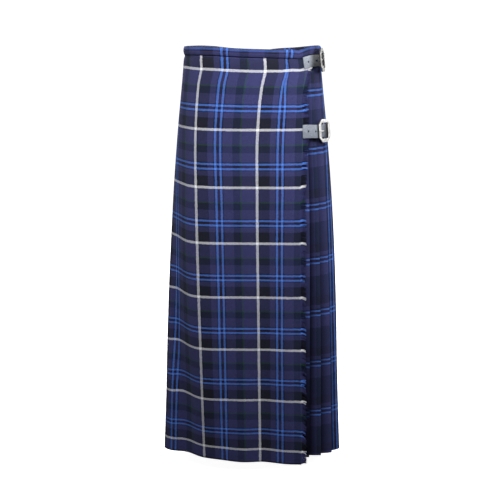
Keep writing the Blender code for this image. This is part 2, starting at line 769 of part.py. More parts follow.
def build_buckle(row, finish):
    """The eight-sided frame with its bar across the middle."""
    frame = BuckleFrame(row)
    inner_cut = CORNER_CUT - RAIL * (2 - math.sqrt(2))
    loops = (
        (0.0, FRAME_BACK), (0.0, FRAME_FRONT - FRAME_CHAMFER), (FRAME_CHAMFER, FRAME_FRONT),
        (RAIL - FRAME_CHAMFER, FRAME_FRONT), (RAIL, FRAME_FRONT - FRAME_CHAMFER), (RAIL, FRAME_BACK),
    )
    rings = []
    for corner in range(8):
        ring = []
        for inset, out in loops:
            share = inset / RAIL
            cut = CORNER_CUT + (inner_cut - CORNER_CUT) * share
            p, q = octagon(BUCKLE_LONG / 2 - inset, BUCKLE_TALL / 2 - inset, cut)[corner]
            ring.append(frame.at(p, q, out))
        rings.append(ring)
    buckle = tube_of_rings("buckle_" + row["name"], rings, finish, closed=True)
    reach = BUCKLE_TALL / 2 - RAIL / 2
    bar_rings = []
    for q in (-reach, reach):
        bar_rings.append(
            [
                frame.at(BAR_RADIUS * math.cos(a), q, BAR_OUT + BAR_RADIUS * math.sin(a))
                for a in (math.tau * k / 8 for k in range(8))
            ]
        )
    bar = tube_of_rings("cutter_bar_" + row["name"], bar_rings, finish)
    boolean(buckle, bar, "UNION")


def build_prong(row, finish):
    """A hook round the bar whose tongue lies through the strap and on the frame's near rail."""
    frame = BuckleFrame(row)
    radius = BAR_RADIUS + GAP + PRONG_THICK / 2
    path = [
        (radius * math.cos(a), BAR_OUT + radius * math.sin(a))
        for a in (math.radians(d) for d in (-110, -62, -14, 34, 82, 125))
    ]
    rest = FRAME_FRONT + GAP + PRONG_THICK / 2 + 0.0001
    path += [(-BUCKLE_LONG / 2 + RAIL + 0.001, rest), (-BUCKLE_LONG / 2 - 0.0005, rest)]
    rings = frame.band(path, PRONG_THICK / 2, PRONG_WIDTH / 2)
    tube_of_rings("prong_" + row["name"], rings, finish)


def build_chape(row, finish):
    """The leather tab that holds the buckle: folded round the bar and sewn to the pleats."""
    frame = BuckleFrame(row)
    radius = BAR_RADIUS + GAP + CHAPE_THICK / 2
    path = [(0.0025, BAR_OUT + radius)]
    path += [
        (radius * math.cos(a), BAR_OUT + radius * math.sin(a))
        for a in (math.radians(d) for d in (90, 126, 162, 198, 234, 270))
    ]
    path += [(0.009, 0.0004), (0.016, 0.0)]
    rings = frame.band(path, CHAPE_THICK / 2, CHAPE_WIDTH / 2)
    body_s = nearest_body(row["buckle_z"], frame.at(BUCKLE_LONG / 2 + 0.010, 0.0, 0.0))

    def on_body(height, s):
        return row["body_out"] + GAP + CHAPE_THICK / 2

    for s in np.linspace(body_s, body_s + 0.018, 3):
        rings.append(ring_on_body(row["buckle_z"], s, 0.0, on_body, CHAPE_THICK / 2, CHAPE_WIDTH / 2))
    chape = tube_of_rings("chape_" + row["name"], rings, finish)
    notch = NOTCH_WIDTH / 2
    box = [
        [frame.at(p, q, r) for p, r in ((-0.005, -0.003), (0.0033, -0.003), (0.0033, 0.008), (-0.005, 0.008))]
        for q in (-notch, notch)
    ]
    boolean(chape, tube_of_rings("cutter_notch_" + row["name"], box, finish), "DIFFERENCE")


def main():
    for old in list(bpy.data.objects):
        bpy.data.objects.remove(old)
    tartan = material("tartan", (0.045, 0.042, 0.120), 0.9)
    band = material("tartan_band", (0.050, 0.055, 0.150), 0.9)
    fringe = material("fringe_yarn", (0.030, 0.028, 0.090), 0.95)
    leather = material("grey_leather", (0.300, 0.330, 0.370), 0.5)
    pewter = material("pewter", (0.620, 0.620, 0.610), 0.25, 1.0)
    build_outer_apron(tartan)
    build_under_apron(tartan)
    build_pleats(tartan)
    build_waistband(band)
    build_fringe(fringe)
    for values in STRAPS:
        row = dict(zip(STRAP_COLUMNS, values))
        build_strap(row, leather)
        build_buckle(row, pewter)
        build_prong(row, pewter)
        build_chape(row, leather)


main()
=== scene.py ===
"""Full-length wrap kilt in tartan wool, in the hollow form that it has when it is worn.

Metres, +Z up. The front is -Y, the wearer's left side is +X, and the origin is the middle of the
waist at the height of the waistband's top edge.

Every layer of cloth follows one surface: a closed outline round the body at each height. A point on
it is given by its height, its distance round the outline from the middle of the front (positive
towards +X), and its distance out from the outline.
"""

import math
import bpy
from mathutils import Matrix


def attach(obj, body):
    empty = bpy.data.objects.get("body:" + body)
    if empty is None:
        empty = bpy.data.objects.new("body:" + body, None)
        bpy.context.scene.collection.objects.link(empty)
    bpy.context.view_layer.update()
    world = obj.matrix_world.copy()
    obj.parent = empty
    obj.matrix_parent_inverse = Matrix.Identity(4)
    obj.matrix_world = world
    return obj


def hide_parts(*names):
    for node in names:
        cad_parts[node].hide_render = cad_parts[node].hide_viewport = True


bl_info = {
    "name": "Wrap Kilt",
    "version": (1, 0, 0),
    "blender": (4, 5, 0),
    "location": "View3D > Sidebar > Kilt",
    "description": "Makes a full-length tartan wrap kilt with a fringed apron and two buckled straps",
    "category": "Add Mesh",
}

import bmesh
import bpy
import numpy as np
from bpy.props import FloatProperty, FloatVectorProperty, IntProperty, PointerProperty
from mathutils import Matrix, Vector

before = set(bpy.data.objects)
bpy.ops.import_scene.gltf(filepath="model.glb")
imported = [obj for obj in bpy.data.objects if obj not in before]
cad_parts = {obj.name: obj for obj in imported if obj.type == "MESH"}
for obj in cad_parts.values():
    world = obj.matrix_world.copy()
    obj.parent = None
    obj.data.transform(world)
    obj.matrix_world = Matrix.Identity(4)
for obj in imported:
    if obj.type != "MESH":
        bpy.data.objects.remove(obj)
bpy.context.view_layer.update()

# ---------------------------------------------------------------- the form
CLOTH = 0.0014
GAP = 0.0003
LAYER_GAP = 0.0016
HEM = -0.965
PLEAT_HEM = -0.961
SECTION_COLUMNS = (
    "height", "half_width", "widest_y", "front", "back",
    "left_power", "right_power", "fold_at", "fold_depth",
)
SECTIONS = (
    (0.000, 0.1515, 0.000, 0.1035, 0.1010, 2.20, 2.20, 0.93, 0.000),
    (-0.052, 0.1560, 0.002, 0.1085, 0.1070, 2.35, 2.30, 0.93, 0.002),
    (-0.172, 0.1695, 0.002, 0.1125, 0.1180, 2.55, 2.40, 0.95, 0.012),
    (-0.299, 0.1820, 0.000, 0.1160, 0.1240, 2.95, 2.40, 0.95, 0.030),
    (-0.425, 0.1915, -0.012, 0.1165, 0.1260, 3.08, 2.30, 0.94, 0.043),
    (-0.552, 0.1990, -0.022, 0.1165, 0.1280, 3.10, 2.20, 0.90, 0.044),
    (-0.678, 0.2050, -0.030, 0.1165, 0.1310, 2.60, 2.10, 0.86, 0.037),
    (-0.805, 0.2100, -0.036, 0.1165, 0.1350, 2.07, 1.95, 0.80, 0.024),
    (-0.965, 0.2165, -0.047, 0.1175, 0.1400, 1.58, 1.85, 0.75, 0.010),
)
BACK_POWER = 2.0
FOLD_SPREAD = 0.13
FOLD_BEHIND = 0.25
OUTLINE_SAMPLES = 1440
RIM_COLUMNS = ("x", "front", "back")
RIM = (
    (-0.152, 0.0008, 0.0008),
    (-0.120, 0.0018, 0.0008),
    (-0.090, 0.0018, -0.0010),
    (-0.060, 0.0002, -0.0045),
    (-0.030, -0.0012, -0.0072),
    (0.000, -0.0023, -0.0100),
    (0.030, -0.0030, -0.0100),
    (0.060, -0.0040, -0.0065),
    (0.088, -0.0043, -0.0045),
    (0.099, -0.0056, -0.0038),
    (0.108, -0.0026, -0.0030),
    (0.120, 0.0014, -0.0015),
    (0.152, 0.0026, 0.0026),
)
RIM_FADES_AT = -0.20
HEM_RISE = 0.0045
HEM_RISE_FROM, HEM_RISE_TO = 0.02, 0.11
HEM_RISE_FADES_AT = -0.85
TOP_OF_CLOTH = -0.0015
EDGE_COLUMNS = ("height", "edge_x", "lift")
EDGE = (
    (0.000, 0.1325, 0.0030),
    (-0.021, 0.1290, 0.0032),
    (-0.052, 0.1180, 0.0040),
    (-0.100, 0.1100, 0.0058),
    (-0.155, 0.1110, 0.0080),
    (-0.200, 0.1110, 0.0095),
    (-0.299, 0.1065, 0.0125),
    (-0.425, 0.1080, 0.0145),
    (-0.552, 0.1100, 0.0155),
    (-0.678, 0.1120, 0.0180),
    (-0.805, 0.1140, 0.0215),
    (-0.965, 0.1165, 0.0250),
)
LIFT_STARTS_X = 0.020
LIFT_POWER = 1.3
PLEATS = 22
LAST_EDGE_SHARE = 0.90
APRON_PAST_FOLD = 0.004  # from the last fold's hidden end to the outer apron's left edge
MEASURED_AT = -0.5  # the height where the sheets' ends and the pleats' lengths are worked out, which nothing then uses
PLEAT_COLUMNS = ("height", "first_edge_x", "rise", "hidden")
PLEAT_TABLE = (
    (0.000, 0.1190, 0.0066, 0.0150),
    (-0.100, 0.1205, 0.0066, 0.0155),
    (-0.205, 0.1225, 0.0070, 0.0165),
    (-0.350, 0.1275, 0.0095, 0.0185),
    (-0.500, 0.1310, 0.0130, 0.0200),
    (-0.700, 0.1345, 0.0165, 0.0215),
    (-0.965, 0.1375, 0.0200, 0.0230),
)
UNDER_LEFT_SHARE = 0.80
UNDER_JOIN_SPREAD = 0.090
BAND_HEIGHT = 0.0175
BAND_WALL = 0.0013
# The cloth is drawn in a little where the waistband is sewn on.
PINCH_AT = -0.0185
PINCH_SPREAD = 0.006
PINCH = 0.0022

# ---------------------------------------------------------------- the tartan
# Where the threads of the sett lie, as shares of one repeat: each stripe's start, and its yarn.
SETT = (
    (0.000, "white"), (0.021, "black"), (0.200, "purple"), (0.290, "black"), (0.308, "blue"),
    (0.343, "maroon"), (0.388, "blue"), (0.423, "black"), (0.445, "purple"), (0.605, "navy"),
    (0.720, "green"), (0.746, "purple"), (0.979, "white"),
)
# The pleats' cloth has no white, and its weft is charted downwards from the lower blue line.
PLEAT_WARP = (
    (0.000, "black"), (0.200, "purple"), (0.290, "black"), (0.308, "blue"), (0.343, "maroon"),
    (0.388, "blue"), (0.423, "black"), (0.445, "purple"), (0.605, "navy"), (0.718, "green"),
    (0.750, "purple"), (0.979, "black"),
)
PLEAT_WEFT = (
    (0.000, "blue"), (0.016, "black"), (0.030, "purple"), (0.240, "navy"), (0.630, "black"),
    (0.800, "purple"), (0.870, "black"), (0.899, "blue"), (0.931, "maroon"), (0.984, "blue"),
)
BAND_WARP = (
    (0.000, "navy"), (0.040, "black"), (0.200, "purple"), (0.290, "black"), (0.308, "blue"),
    (0.343, "maroon"), (0.388, "blue"), (0.423, "black"), (0.445, "purple"), (0.605, "navy"),
    (0.750, "purple"),
)
BAND_WEFT = (
    (0.000, "black"), (0.050, "purple"), (0.500, "maroon"), (0.670, "rim_blue"), (0.850, "navy"),
)
# Distances round to the apron's lines at each height: white, the middle of the blue pair, white, pair.
LINE_REPEATS = (-1.0, -0.635, 0.0, 0.365)
LINE_COLUMNS = ("height", "white_left", "pair_left", "white_right", "pair_right")
LINES = (
    (0.000, -0.1173, -0.0600, 0.0262, 0.0801),
    (-0.018, -0.1173, -0.0600, 0.0262, 0.0801),
    (-0.045, -0.1148, -0.0590, 0.0273, 0.0792),
    (-0.074, -0.1215, -0.0660, 0.0212, 0.0706),
    (-0.100, -0.1248, -0.0690, 0.0172, 0.0668),
    (-0.170, -0.1288, -0.0750, 0.0115, 0.0617),
    (-0.330, -0.1266, -0.0735, 0.0104, 0.0600),
    (-0.600, -0.1220, -0.0700, 0.0140, 0.0615),
    (-0.950, -0.1162, -0.0661, 0.0193, 0.0655),
)
LEFT_REPEAT, RIGHT_REPEAT = 0.1350, 0.1300
FIRST_WHITE_WEFT = -0.0466
# Near the rim the weft runs straighter than the rim does: how far it is lifted, at distances round.
WEFT_LIFT = (
    (-0.170, 0.0025), (-0.120, 0.0), (0.020, 0.0003), (0.042, 0.0014), (0.060, 0.0016), (0.080, 0.0030),
    (0.100, 0.0046), (0.112, 0.0030), (0.130, 0.0006),
)
WEFT_LIFT_FROM, WEFT_LIFT_TO = -0.060, -0.110
EDGE_DROOP, EDGE_DROOP_WIDTH = 0.0015, 0.016
RAVEL = 0.0042  # how much of the apron's edge is ravelled into fringe
RAVEL_FROM, RAVEL_TO = -0.04, -0.10
PLEAT_FIRST_BLUE = -0.1031
PLEAT_REPEAT_WIDTH, PLEAT_REPEAT_HEIGHT = 0.135, 0.1253
PLEAT_EDGE_REPEATS = (0.91, 0.68, 0.970, 0.425)
# The pleats overlap more towards the waist, so the lines of the fourth fold move with height.
LINED_FOLD = 3
PLEAT_SHIFT = (
    (-0.96, 0.040), (-0.60, 0.030), (-0.44, 0.005), (-0.34, -0.010), (-0.18, -0.068), (-0.02, -0.085),
)
# Painted shade deep in a fold, where the cloth lies in shadow: how much darker it is, at heights down the
# pleat.
FOLD_SHADES = ((-0.96, 0.78), (-0.75, 0.82), (-0.45, 0.60), (-0.20, 0.38), (-0.02, 0.20))
# Painted shade in the first whole fold, which the apron's edge shadows more deeply.
FIRST_FOLD_SHADES = ((-0.96, 0.93), (-0.55, 0.93), (-0.30, 0.82), (-0.12, 0.45), (-0.02, 0.20))
# Painted shadow: the first fold's edge lies deep behind the fringe low down, so it is painted dark right up
# to its edge.
FIRST_EDGE_SHADES = (
    (-0.96, 0.88), (-0.83, 0.80), (-0.73, 0.62), (-0.68, 0.52), (-0.58, 0.20), (-0.45, 0.0),
)
# The dart to the right of the middle of the front takes in this much at the band.
DART_REPEAT = 0.350
DART_INTAKE = 0.011
DART_TOP, DART_END = -0.018, -0.120
DART_DEPTH, DART_WIDTH = 0.0016, 0.0035

# ---------------------------------------------------------------- straps and buckles
HOLE_RADIUS = 0.0025
HOLE_SIDES = 16
HOLE_PITCH = 0.0222
SLOT_LENGTH = 0.0075
SLOT_WIDTH = 0.0042
SLOT_FROM_BAR = 0.0051
STRAP_CLEAR = 0.0006
STRAP_OVER_BAR, STRAP_UNDER_RAIL, STRAP_PAST_FRAME = 0.003, 0.0112, 0.0015
STRAP_PAST_EDGE = 0.0035
TAIL_ON_BODY = 0.042
TAIL_END_SHARE = 0.35
STRAP_STEP, STRAP_EDGE_ROUND = 0.0012, 0.0005
# Painted shade on the straps: each darkens towards its buckle until just past the frame's middle, and a
# painted shadow line lies just outside the frame's near end.
DARK_UNTIL, DARK_FADE = 0.014, 0.010
SHADOW_LINE_FROM_FRAME, SHADOW_LINE_WIDTH, SHADOW_LINE_DEPTH = 0.0012, 0.0016, 0.9
FRAME_BACK = 0.0034
FRAME_FRONT = 0.0066
CORNER_CUT = 0.011
WINDOW_CUT = 0.0028
FRAME_ROUND = 0.0010
SIDE_WALL = 0.75  # a face whose normal has less than this of the outward direction is a side
# Painted shade: the buckles' side walls get a copy of the pewter at this share of its brightness.
SIDE_SHADE_BRIGHTNESS = 0.10
BAR_RADIUS = 0.0011
BAR_OUT = 0.0034
CHAPE_WIDTH = 0.024
CHAPE_THICK = 0.0011
PRONG_THICK = 0.0012
PRONG_WIDTH = 0.0028
NOTCH_WIDTH, NOTCH_FROM, NOTCH_TO, NOTCH_DEPTH = 0.0038, -0.005, 0.0033, 0.006
NOTCH_OUT = 0.0025
# The chape's end beyond the bar, and its way down to the body as (along, out).
CHAPE_FOLDS_AT = 0.0025
CHAPE_LAYS_DOWN = ((0.009, 0.0004), (0.016, 0.0))
CHAPE_TURNS = (90, 126, 162, 198, 234, 270)
CHAPE_ON_BODY = 0.018
PRONG_TURNS = (-110, -62, -14, 34, 82, 125)
# How far past the frame's far rail the chape and the strap reach the body.
CHAPE_DOWN_AFTER, STRAP_DOWN_AFTER = 0.010, 0.012
# How much of its slant the strap keeps, from where it is sewn on to the apron's edge.
STRAP_SEWN_SHARES = (1.0, 0.6, 0.2, 0.0)
# dark_from and dark_to: where a strap's painted shade starts and where it is full, in x from its buckle's
# middle.
STRAP_COLUMNS = (
    "name", "middle_x", "middle_y", "buckle_z", "turn_degrees", "lean",
    "sewn_x", "sewn_z", "slant", "width", "body_out", "dark_from", "dark_to",
)
STRAPS = (
    (
        "upper", 0.1490, -0.0460, -0.0275, 73.0, 0.12,
        0.1085, -0.0305, 0.0035, 0.0255, 0.0023, -0.0290, -0.0130,
    ),
    (
        "lower", 0.1562, -0.0630, -0.1800, 48.0, 0.10,
        0.1060, -0.1772, 0.0000, 0.0292, 0.0008, -0.0070, 0.0130,
    ),
)
UV_NAME = "weave"
# The UV layer that carries the pleats' painted fold shade.
FOLD_SHADE_UV = "fold_depth"
# The straps' attribute that carries their painted shade round the buckles.
PAINTED_FRAME_SHADE = "painted_frame_shade"


# ================================================================ settings
class KiltClothSettings(bpy.types.PropertyGroup):
    """The wool, its yarns and its sett."""

    repeat_width: FloatProperty(
        name="Repeat width", description="Width of one repeat of the sett", default=0.135, min=0.02,
        unit="LENGTH",
    )
    repeat_height: FloatProperty(
        name="Repeat height", description="Height of one repeat of the sett", default=0.1264, min=0.02,
        unit="LENGTH",
    )
    thickness: FloatProperty(
        name="Thickness", description="Thickness of the wool", default=0.0012, min=0.0004, unit="LENGTH"
    )
    purple: FloatVectorProperty(
        name="Purple", description="Purple ground yarn", subtype="COLOR", default=(0.041, 0.043, 0.142)
    )
    navy: FloatVectorProperty(
        name="Navy", description="Dark blue ground yarn", subtype="COLOR", default=(0.011, 0.018, 0.054)
    )
    black: FloatVectorProperty(
        name="Black", description="Near-black yarn", subtype="COLOR", default=(0.0098, 0.0112, 0.0240)
    )
    maroon: FloatVectorProperty(
        name="Maroon", description="Dark red-brown yarn", subtype="COLOR", default=(0.018, 0.009, 0.030)
    )
    blue: FloatVectorProperty(
        name="Blue", description="Bright blue yarn", subtype="COLOR", default=(0.090, 0.245, 0.840)
    )
    rim_blue: FloatVectorProperty(
        name="Rim blue", description="Duller blue along the waistband's rim", subtype="COLOR",
        default=(0.050, 0.115, 0.400),
    )
    green: FloatVectorProperty(
        name="Green", description="Thin green line's yarn", subtype="COLOR", default=(0.020, 0.066, 0.044)
    )
    white: FloatVectorProperty(
        name="White", description="Off-white line's yarn", subtype="COLOR", default=(0.940, 0.955, 1.000)
    )


class KiltFringeSettings(bpy.types.PropertyGroup):
    """The fringe down the apron's free edge."""

    strands: IntProperty(
        name="Strands", description="Number of loose yarns", default=2400, min=100, max=3000
    )
    length: FloatProperty(
        name="Length", description="Length of a loose yarn", default=0.0178, min=0.002, unit="LENGTH"
    )
    radius: FloatProperty(
        name="Radius", description="Radius of a loose yarn", default=0.00050, min=0.0001, unit="LENGTH"
    )


class KiltTrimSettings(bpy.types.PropertyGroup):
    """The leather straps and the metal buckles."""

    leather: FloatVectorProperty(
        name="Leather", description="Colour of the straps", subtype="COLOR", default=(0.235, 0.262, 0.310)
    )
    strap_thickness: FloatProperty(
        name="Strap thickness", description="Thickness of a strap", default=0.0018, min=0.0008,
        unit="LENGTH",
    )
    metal: FloatVectorProperty(
        name="Metal", description="Colour of the buckles", subtype="COLOR", default=(0.970, 0.967, 0.955)
    )
    buckle_length: FloatProperty(
        name="Buckle length", description="Length of a buckle along its strap", default=0.040, unit="LENGTH"
    )
    buckle_height: FloatProperty(
        name="Buckle height", description="Height of a buckle", default=0.051, unit="LENGTH"
    )
    rail: FloatProperty(
        name="Buckle rail", description="Width of a buckle's rail", default=0.008, min=0.002, unit="LENGTH"
    )


class KiltStageSettings(bpy.types.PropertyGroup):
    """The floor, the lights and the camera."""

    floor: FloatVectorProperty(
        name="Floor", description="Colour of the floor", subtype="COLOR", default=(0.90, 0.90, 0.90)
    )
    key_power: FloatProperty(
        name="Key light", description="Power of the key light", default=18.0, unit="POWER"
    )
    fill_power: FloatProperty(
        name="Fill light", description="Power of the fill light", default=17.0, unit="POWER"
    )
    back_power: FloatProperty(
        name="Back light", description="Power of the back light", default=62.0, unit="POWER"
    )
    lens: FloatProperty(
        name="Lens", description="Focal length on a 36 mm sensor, in millimetres", default=62.64, min=10.0
    )


# ================================================================ the outline round the body
def column(table, columns, name, at):
    """A column of a table, on a smooth curve through its rows; at may be an array."""
    rows = np.array(sorted(table))
    grid, values = rows[:, 0], rows[:, columns.index(name)]
    slopes = np.gradient(values, grid)
    at = np.clip(at, grid[0], grid[-1])
    k = np.clip(np.searchsorted(grid, at, side="right") - 1, 0, len(grid) - 2)
    step = grid[k + 1] - grid[k]
    t = (at - grid[k]) / step
    return (
        values[k] * (1 + 2 * t) * (1 - t) ** 2
        + step * slopes[k] * t * (1 - t) ** 2
        + values[k + 1] * t * t * (3 - 2 * t)
        + step * slopes[k + 1] * t * t * (t - 1)
    )


def section(height, name):
    return float(column(SECTIONS, SECTION_COLUMNS, name, height))


class Outline:
    """The closed outline round the body at one height."""

    def __init__(self, height):
        half_width, widest_y = section(height, "half_width"), section(height, "widest_y")
        front, back = section(height, "front"), section(height, "back")
        turn = np.linspace(0.0, 2.0 * math.pi, OUTLINE_SAMPLES, endpoint=False)
        across, ahead = np.sin(turn), np.cos(turn)
        front_power = np.where(across < 0, section(height, "left_power"), section(height, "right_power"))
        power = np.where(ahead > 0, front_power, BACK_POWER)
        x = half_width * np.sign(across) * np.abs(across) ** (2.0 / power)
        reach = np.where(ahead > 0, -(front + widest_y), back - widest_y)
        y = widest_y + reach * np.abs(ahead) ** (2.0 / power)
        share, fold_at = -x / half_width, section(height, "fold_at")
        ahead_of_side = np.exp(-(((share - fold_at) / FOLD_SPREAD) ** 2))
        behind_side = np.exp(-(((1.0 - fold_at) / FOLD_SPREAD) ** 2) - ((1.0 - share) / FOLD_BEHIND) ** 2)
        trough = section(height, "fold_depth") * np.where(ahead > 0, ahead_of_side, behind_side)
        y = y + np.where(x < 0, trough, 0.0)
        self.half_width = half_width
        self.x, self.y = np.append(x, x[0]), np.append(y, y[0])
        self.s = np.concatenate([[0.0], np.cumsum(np.hypot(np.diff(self.x), np.diff(self.y)))])
        self.length = self.s[-1]

    def point(self, s):
        s = np.mod(s, self.length)
        return np.stack([np.interp(s, self.s, self.x), np.interp(s, self.s, self.y)], axis=-1)

    def out(self, s, reach=0.002):
        ahead = self.point(s + reach) - self.point(s - reach)
        size = np.maximum(np.hypot(ahead[..., 0], ahead[..., 1]), 1e-9)
        return np.stack([ahead[..., 1] / size, -ahead[..., 0] / size], axis=-1)

    def right_front(self, x):
        quarter = OUTLINE_SAMPLES // 4
        return float(np.interp(x, self.x[: quarter + 1], self.s[: quarter + 1]))

    def left_front(self, share):
        quarter = 3 * OUTLINE_SAMPLES // 4
        return float(np.interp(-share * self.half_width, self.x[quarter:], self.s[quarter:])) - self.length

    def left_back(self, share):
        half, quarter = OUTLINE_SAMPLES // 2, 3 * OUTLINE_SAMPLES // 4
        x, s = -self.x[half : quarter + 1], self.s[half : quarter + 1]
        return float(np.interp(share * self.half_width, x, s))


OUTLINES = {}


def outline(height):
    key = round(float(height), 4)
    if key not in OUTLINES:
        OUTLINES[key] = Outline(key)
    return OUTLINES[key]


def smooth_step(t):
    t = np.clip(t, 0.0, 1.0)
    return t * t * (3 - 2 * t)


def rise(height, x, y):
    """How far the rim and the hem lift the cloth at points of an outline."""
    side = np.where(y < 0, column(RIM, RIM_COLUMNS, "front", x), column(RIM, RIM_COLUMNS, "back", x))
    at_rim = side * smooth_step(1.0 - height / RIM_FADES_AT)
    at_left = np.where(y < 0, smooth_step((-x - HEM_RISE_FROM) / (HEM_RISE_TO - HEM_RISE_FROM)), 0.0)
    at_hem = HEM_RISE * at_left * smooth_step((height - HEM_RISE_FADES_AT) / (HEM - HEM_RISE_FADES_AT))
    return at_rim + at_hem


def place(height, s, out):
    """The point or points at a height, distances round and distances out."""
    round_it = outline(height)
    s, out = np.asarray(s, float), np.asarray(out, float)
    on_it = round_it.point(s)
    flat = on_it + out[..., None] * round_it.out(s)
    z = height + rise(height, on_it[..., 0], on_it[..., 1])
    return np.concatenate([flat, np.asarray(z)[..., None]], axis=-1)


def pinch(height):
    """How far the seam of the waistband draws the cloth in."""
    return -PINCH * math.exp(-(((height - PINCH_AT) / PINCH_SPREAD) ** 2))


def pleat_value(height, name):
    return float(column(PLEAT_TABLE, PLEAT_COLUMNS, name, height))


def by_height(table, height):
    at, values = zip(*table)
    return float(np.interp(height, at, values))


def edge_value(height, name):
    return float(column(EDGE, EDGE_COLUMNS, name, height))


def first_edge(height):
    return outline(height).right_front(pleat_value(height, "first_edge_x"))


def last_edge(height):
    return outline(height).left_back(LAST_EDGE_SHARE)


def reveal(height):
    return (last_edge(height) - first_edge(height)) / (PLEATS - 1)


def pleat_floor(height):
    return -pleat_value(height, "rise") - CLOTH / 2


def apron_ends(height):
    start = outline(height).right_front(edge_value(height, "edge_x"))
    end = last_edge(height) - pleat_value(height, "hidden") + APRON_PAST_FOLD - outline(height).length
    return start, end


def apron_out(height, s):
    """How far out the outer apron's outer face lies."""
    s = np.asarray(s, float)
    x = outline(height).point(s)[..., 0]
    along = (x - LIFT_STARTS_X) / (edge_value(height, "edge_x") - LIFT_STARTS_X)
    lifted = edge_value(height, "lift") * np.clip(along, 0.0, 1.0) ** LIFT_POWER
    hidden = pleat_value(height, "hidden")
    slope = pleat_value(height, "rise") / (reveal(height) + hidden)
    past_edge = s - (last_edge(height) - outline(height).length)
    rising = pleat_floor(height) + CLOTH / 2 + slope * (past_edge + hidden)
    return np.where(s > 0, lifted, np.minimum(0.0, rising))


def under_ends(height):
    start = first_edge(height) - reveal(height) - pleat_value(height, "hidden") - GAP
    return start, outline(height).left_front(UNDER_LEFT_SHARE)


def under_out(height, s):
    """How far out the under apron's outer face lies."""
    flat = -CLOTH - LAYER_GAP - BAND_WALL - GAP
    joined = min(pleat_floor(height) + CLOTH / 2, flat)
    nearness = np.exp(-(((under_ends(height)[0] - np.asarray(s, float)) / UNDER_JOIN_SPREAD) ** 2))
    return flat + (joined - flat) * nearness


def line_places(height):
    """The distances round to the apron's four charted lines at a height."""
    return [float(column(LINES, LINE_COLUMNS, name, height)) for name in LINE_COLUMNS[1:]]


def warp_repeat(height, s):
    """The place in the sett, counted in repeats, at distances round the apron."""
    at = line_places(height)
    inside = np.interp(s, at, LINE_REPEATS)
    left = LINE_REPEATS[0] + (s - at[0]) / LEFT_REPEAT
    right = LINE_REPEATS[-1] + (s - at[-1]) / RIGHT_REPEAT
    return np.where(s < at[0], left, np.where(s > at[-1], right, inside))


# ================================================================ mesh helpers
def unit(vector):
    return vector / np.linalg.norm(vector)


def leave_selected(obj):
    """Deselects everything but one object, and makes it the active one."""
    if bpy.context.object and bpy.context.object.mode != "OBJECT":
        bpy.ops.object.mode_set(mode="OBJECT")
    bpy.ops.object.select_all(action="DESELECT")
    if obj:
        obj.select_set(True)
        bpy.context.view_layer.objects.active = obj


def add_mesh(name, verts, faces, repeats, finish, smooth_angle=50):
    """A new object at the origin, with one UV pair for each corner of its faces."""
    mesh = bpy.data.meshes.new(name)
    mesh.from_pydata([tuple(v) for v in verts], [], faces)
    if repeats is not None:
        layer = mesh.uv_layers.new(name=UV_NAME)
        layer.data.foreach_set("uv", np.asarray(repeats, np.float32).ravel())
    mesh.materials.append(finish)
    made = bpy.data.objects.new(name, mesh)
    bpy.context.collection.objects.link(made)
    mesh.shade_smooth()
    mesh.set_sharp_from_angle(angle=math.radians(smooth_angle))
    return made


def weld(obj, distance=1e-6):
    """Merges doubled points and drops faces that have no area left."""
    bm = bmesh.new()
    bm.from_mesh(obj.data)
    bmesh.ops.remove_doubles(bm, verts=bm.verts, dist=distance)
    bmesh.ops.dissolve_degenerate(bm, edges=bm.edges, dist=1e-7)
    bmesh.ops.recalc_face_normals(bm, faces=bm.faces)
    bm.to_mesh(obj.data)
    bm.free()


def cloth_grid(name, points, repeats, finish, jump_column=None, jumps=None):
    """An open sheet over rows of points that run round the body, facing out. From jump_column on, each
    row's place in the sett is moved by its jump, as across a dart."""
    points, repeats = np.asarray(points), np.asarray(repeats)
    rows, steps = points.shape[:2]
    index = np.arange(rows * steps).reshape(rows, steps)
    corners = ((0, 0), (1, 0), (1, 1), (0, 1))
    faces, sett = [], []
    for down, along in corners:
        part = index[down : rows - 1 + down, along : steps - 1 + along]
        faces.append(part.ravel())
        at = repeats[down : rows - 1 + down, along : steps - 1 + along].copy()
        if jump_column is not None:
            at[:, jump_column:, 0] += np.asarray(jumps)[down : rows - 1 + down, None]
        sett.append(at.reshape(-1, 2))
    faces, sett = np.stack(faces, axis=1), np.stack(sett, axis=1)
    return add_mesh(name, points.reshape(-1, 3), faces.tolist(), sett, finish)


def apply_modifier(obj, kind, **settings):
    made = obj.modifiers.new(kind.lower(), kind)
    for name, value in settings.items():
        setattr(made, name, value)
    leave_selected(obj)
    bpy.ops.object.modifier_apply(modifier=made.name)


def give_wall(obj, thickness, offset=-1.0):
    apply_modifier(obj, "SOLIDIFY", thickness=thickness, offset=offset, use_even_offset=False)


def finish_piece(obj, slot, *nodes):
    """The piece rides on the kilt's one body and stands for these CAD nodes."""
    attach(obj, "root")
    if nodes:
        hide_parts(*nodes)


# ================================================================ materials
def add_node(tree, kind, inputs=None, **settings):
    node = tree.nodes.new(kind)
    for name, value in settings.items():
        setattr(node, name, value)
    for socket, value in (inputs or {}).items():
        if isinstance(value, bpy.types.NodeSocket):
            tree.links.new(value, node.inputs[socket])
        else:
            node.inputs[socket].default_value = value
    return node


def new_material(name, roughness, metallic=0.0):
    made = bpy.data.materials.new(name)
    made.use_nodes = True
    shader = made.node_tree.nodes["Principled BSDF"]
    shader.inputs["Roughness"].default_value = roughness
    shader.inputs["Metallic"].default_value = metallic
    return made, made.node_tree, shader


def math_node(tree, operation, *values):
    node = add_node(tree, "ShaderNodeMath", {k: v for k, v in enumerate(values)}, operation=operation)
    return node.outputs[0]


def remap(tree, value, low, high, to_low, to_high):
    sockets = {"Value": value, "From Min": low, "From Max": high, "To Min": to_low, "To Max": to_high}
    return add_node(tree, "ShaderNodeMapRange", sockets).outputs["Result"]


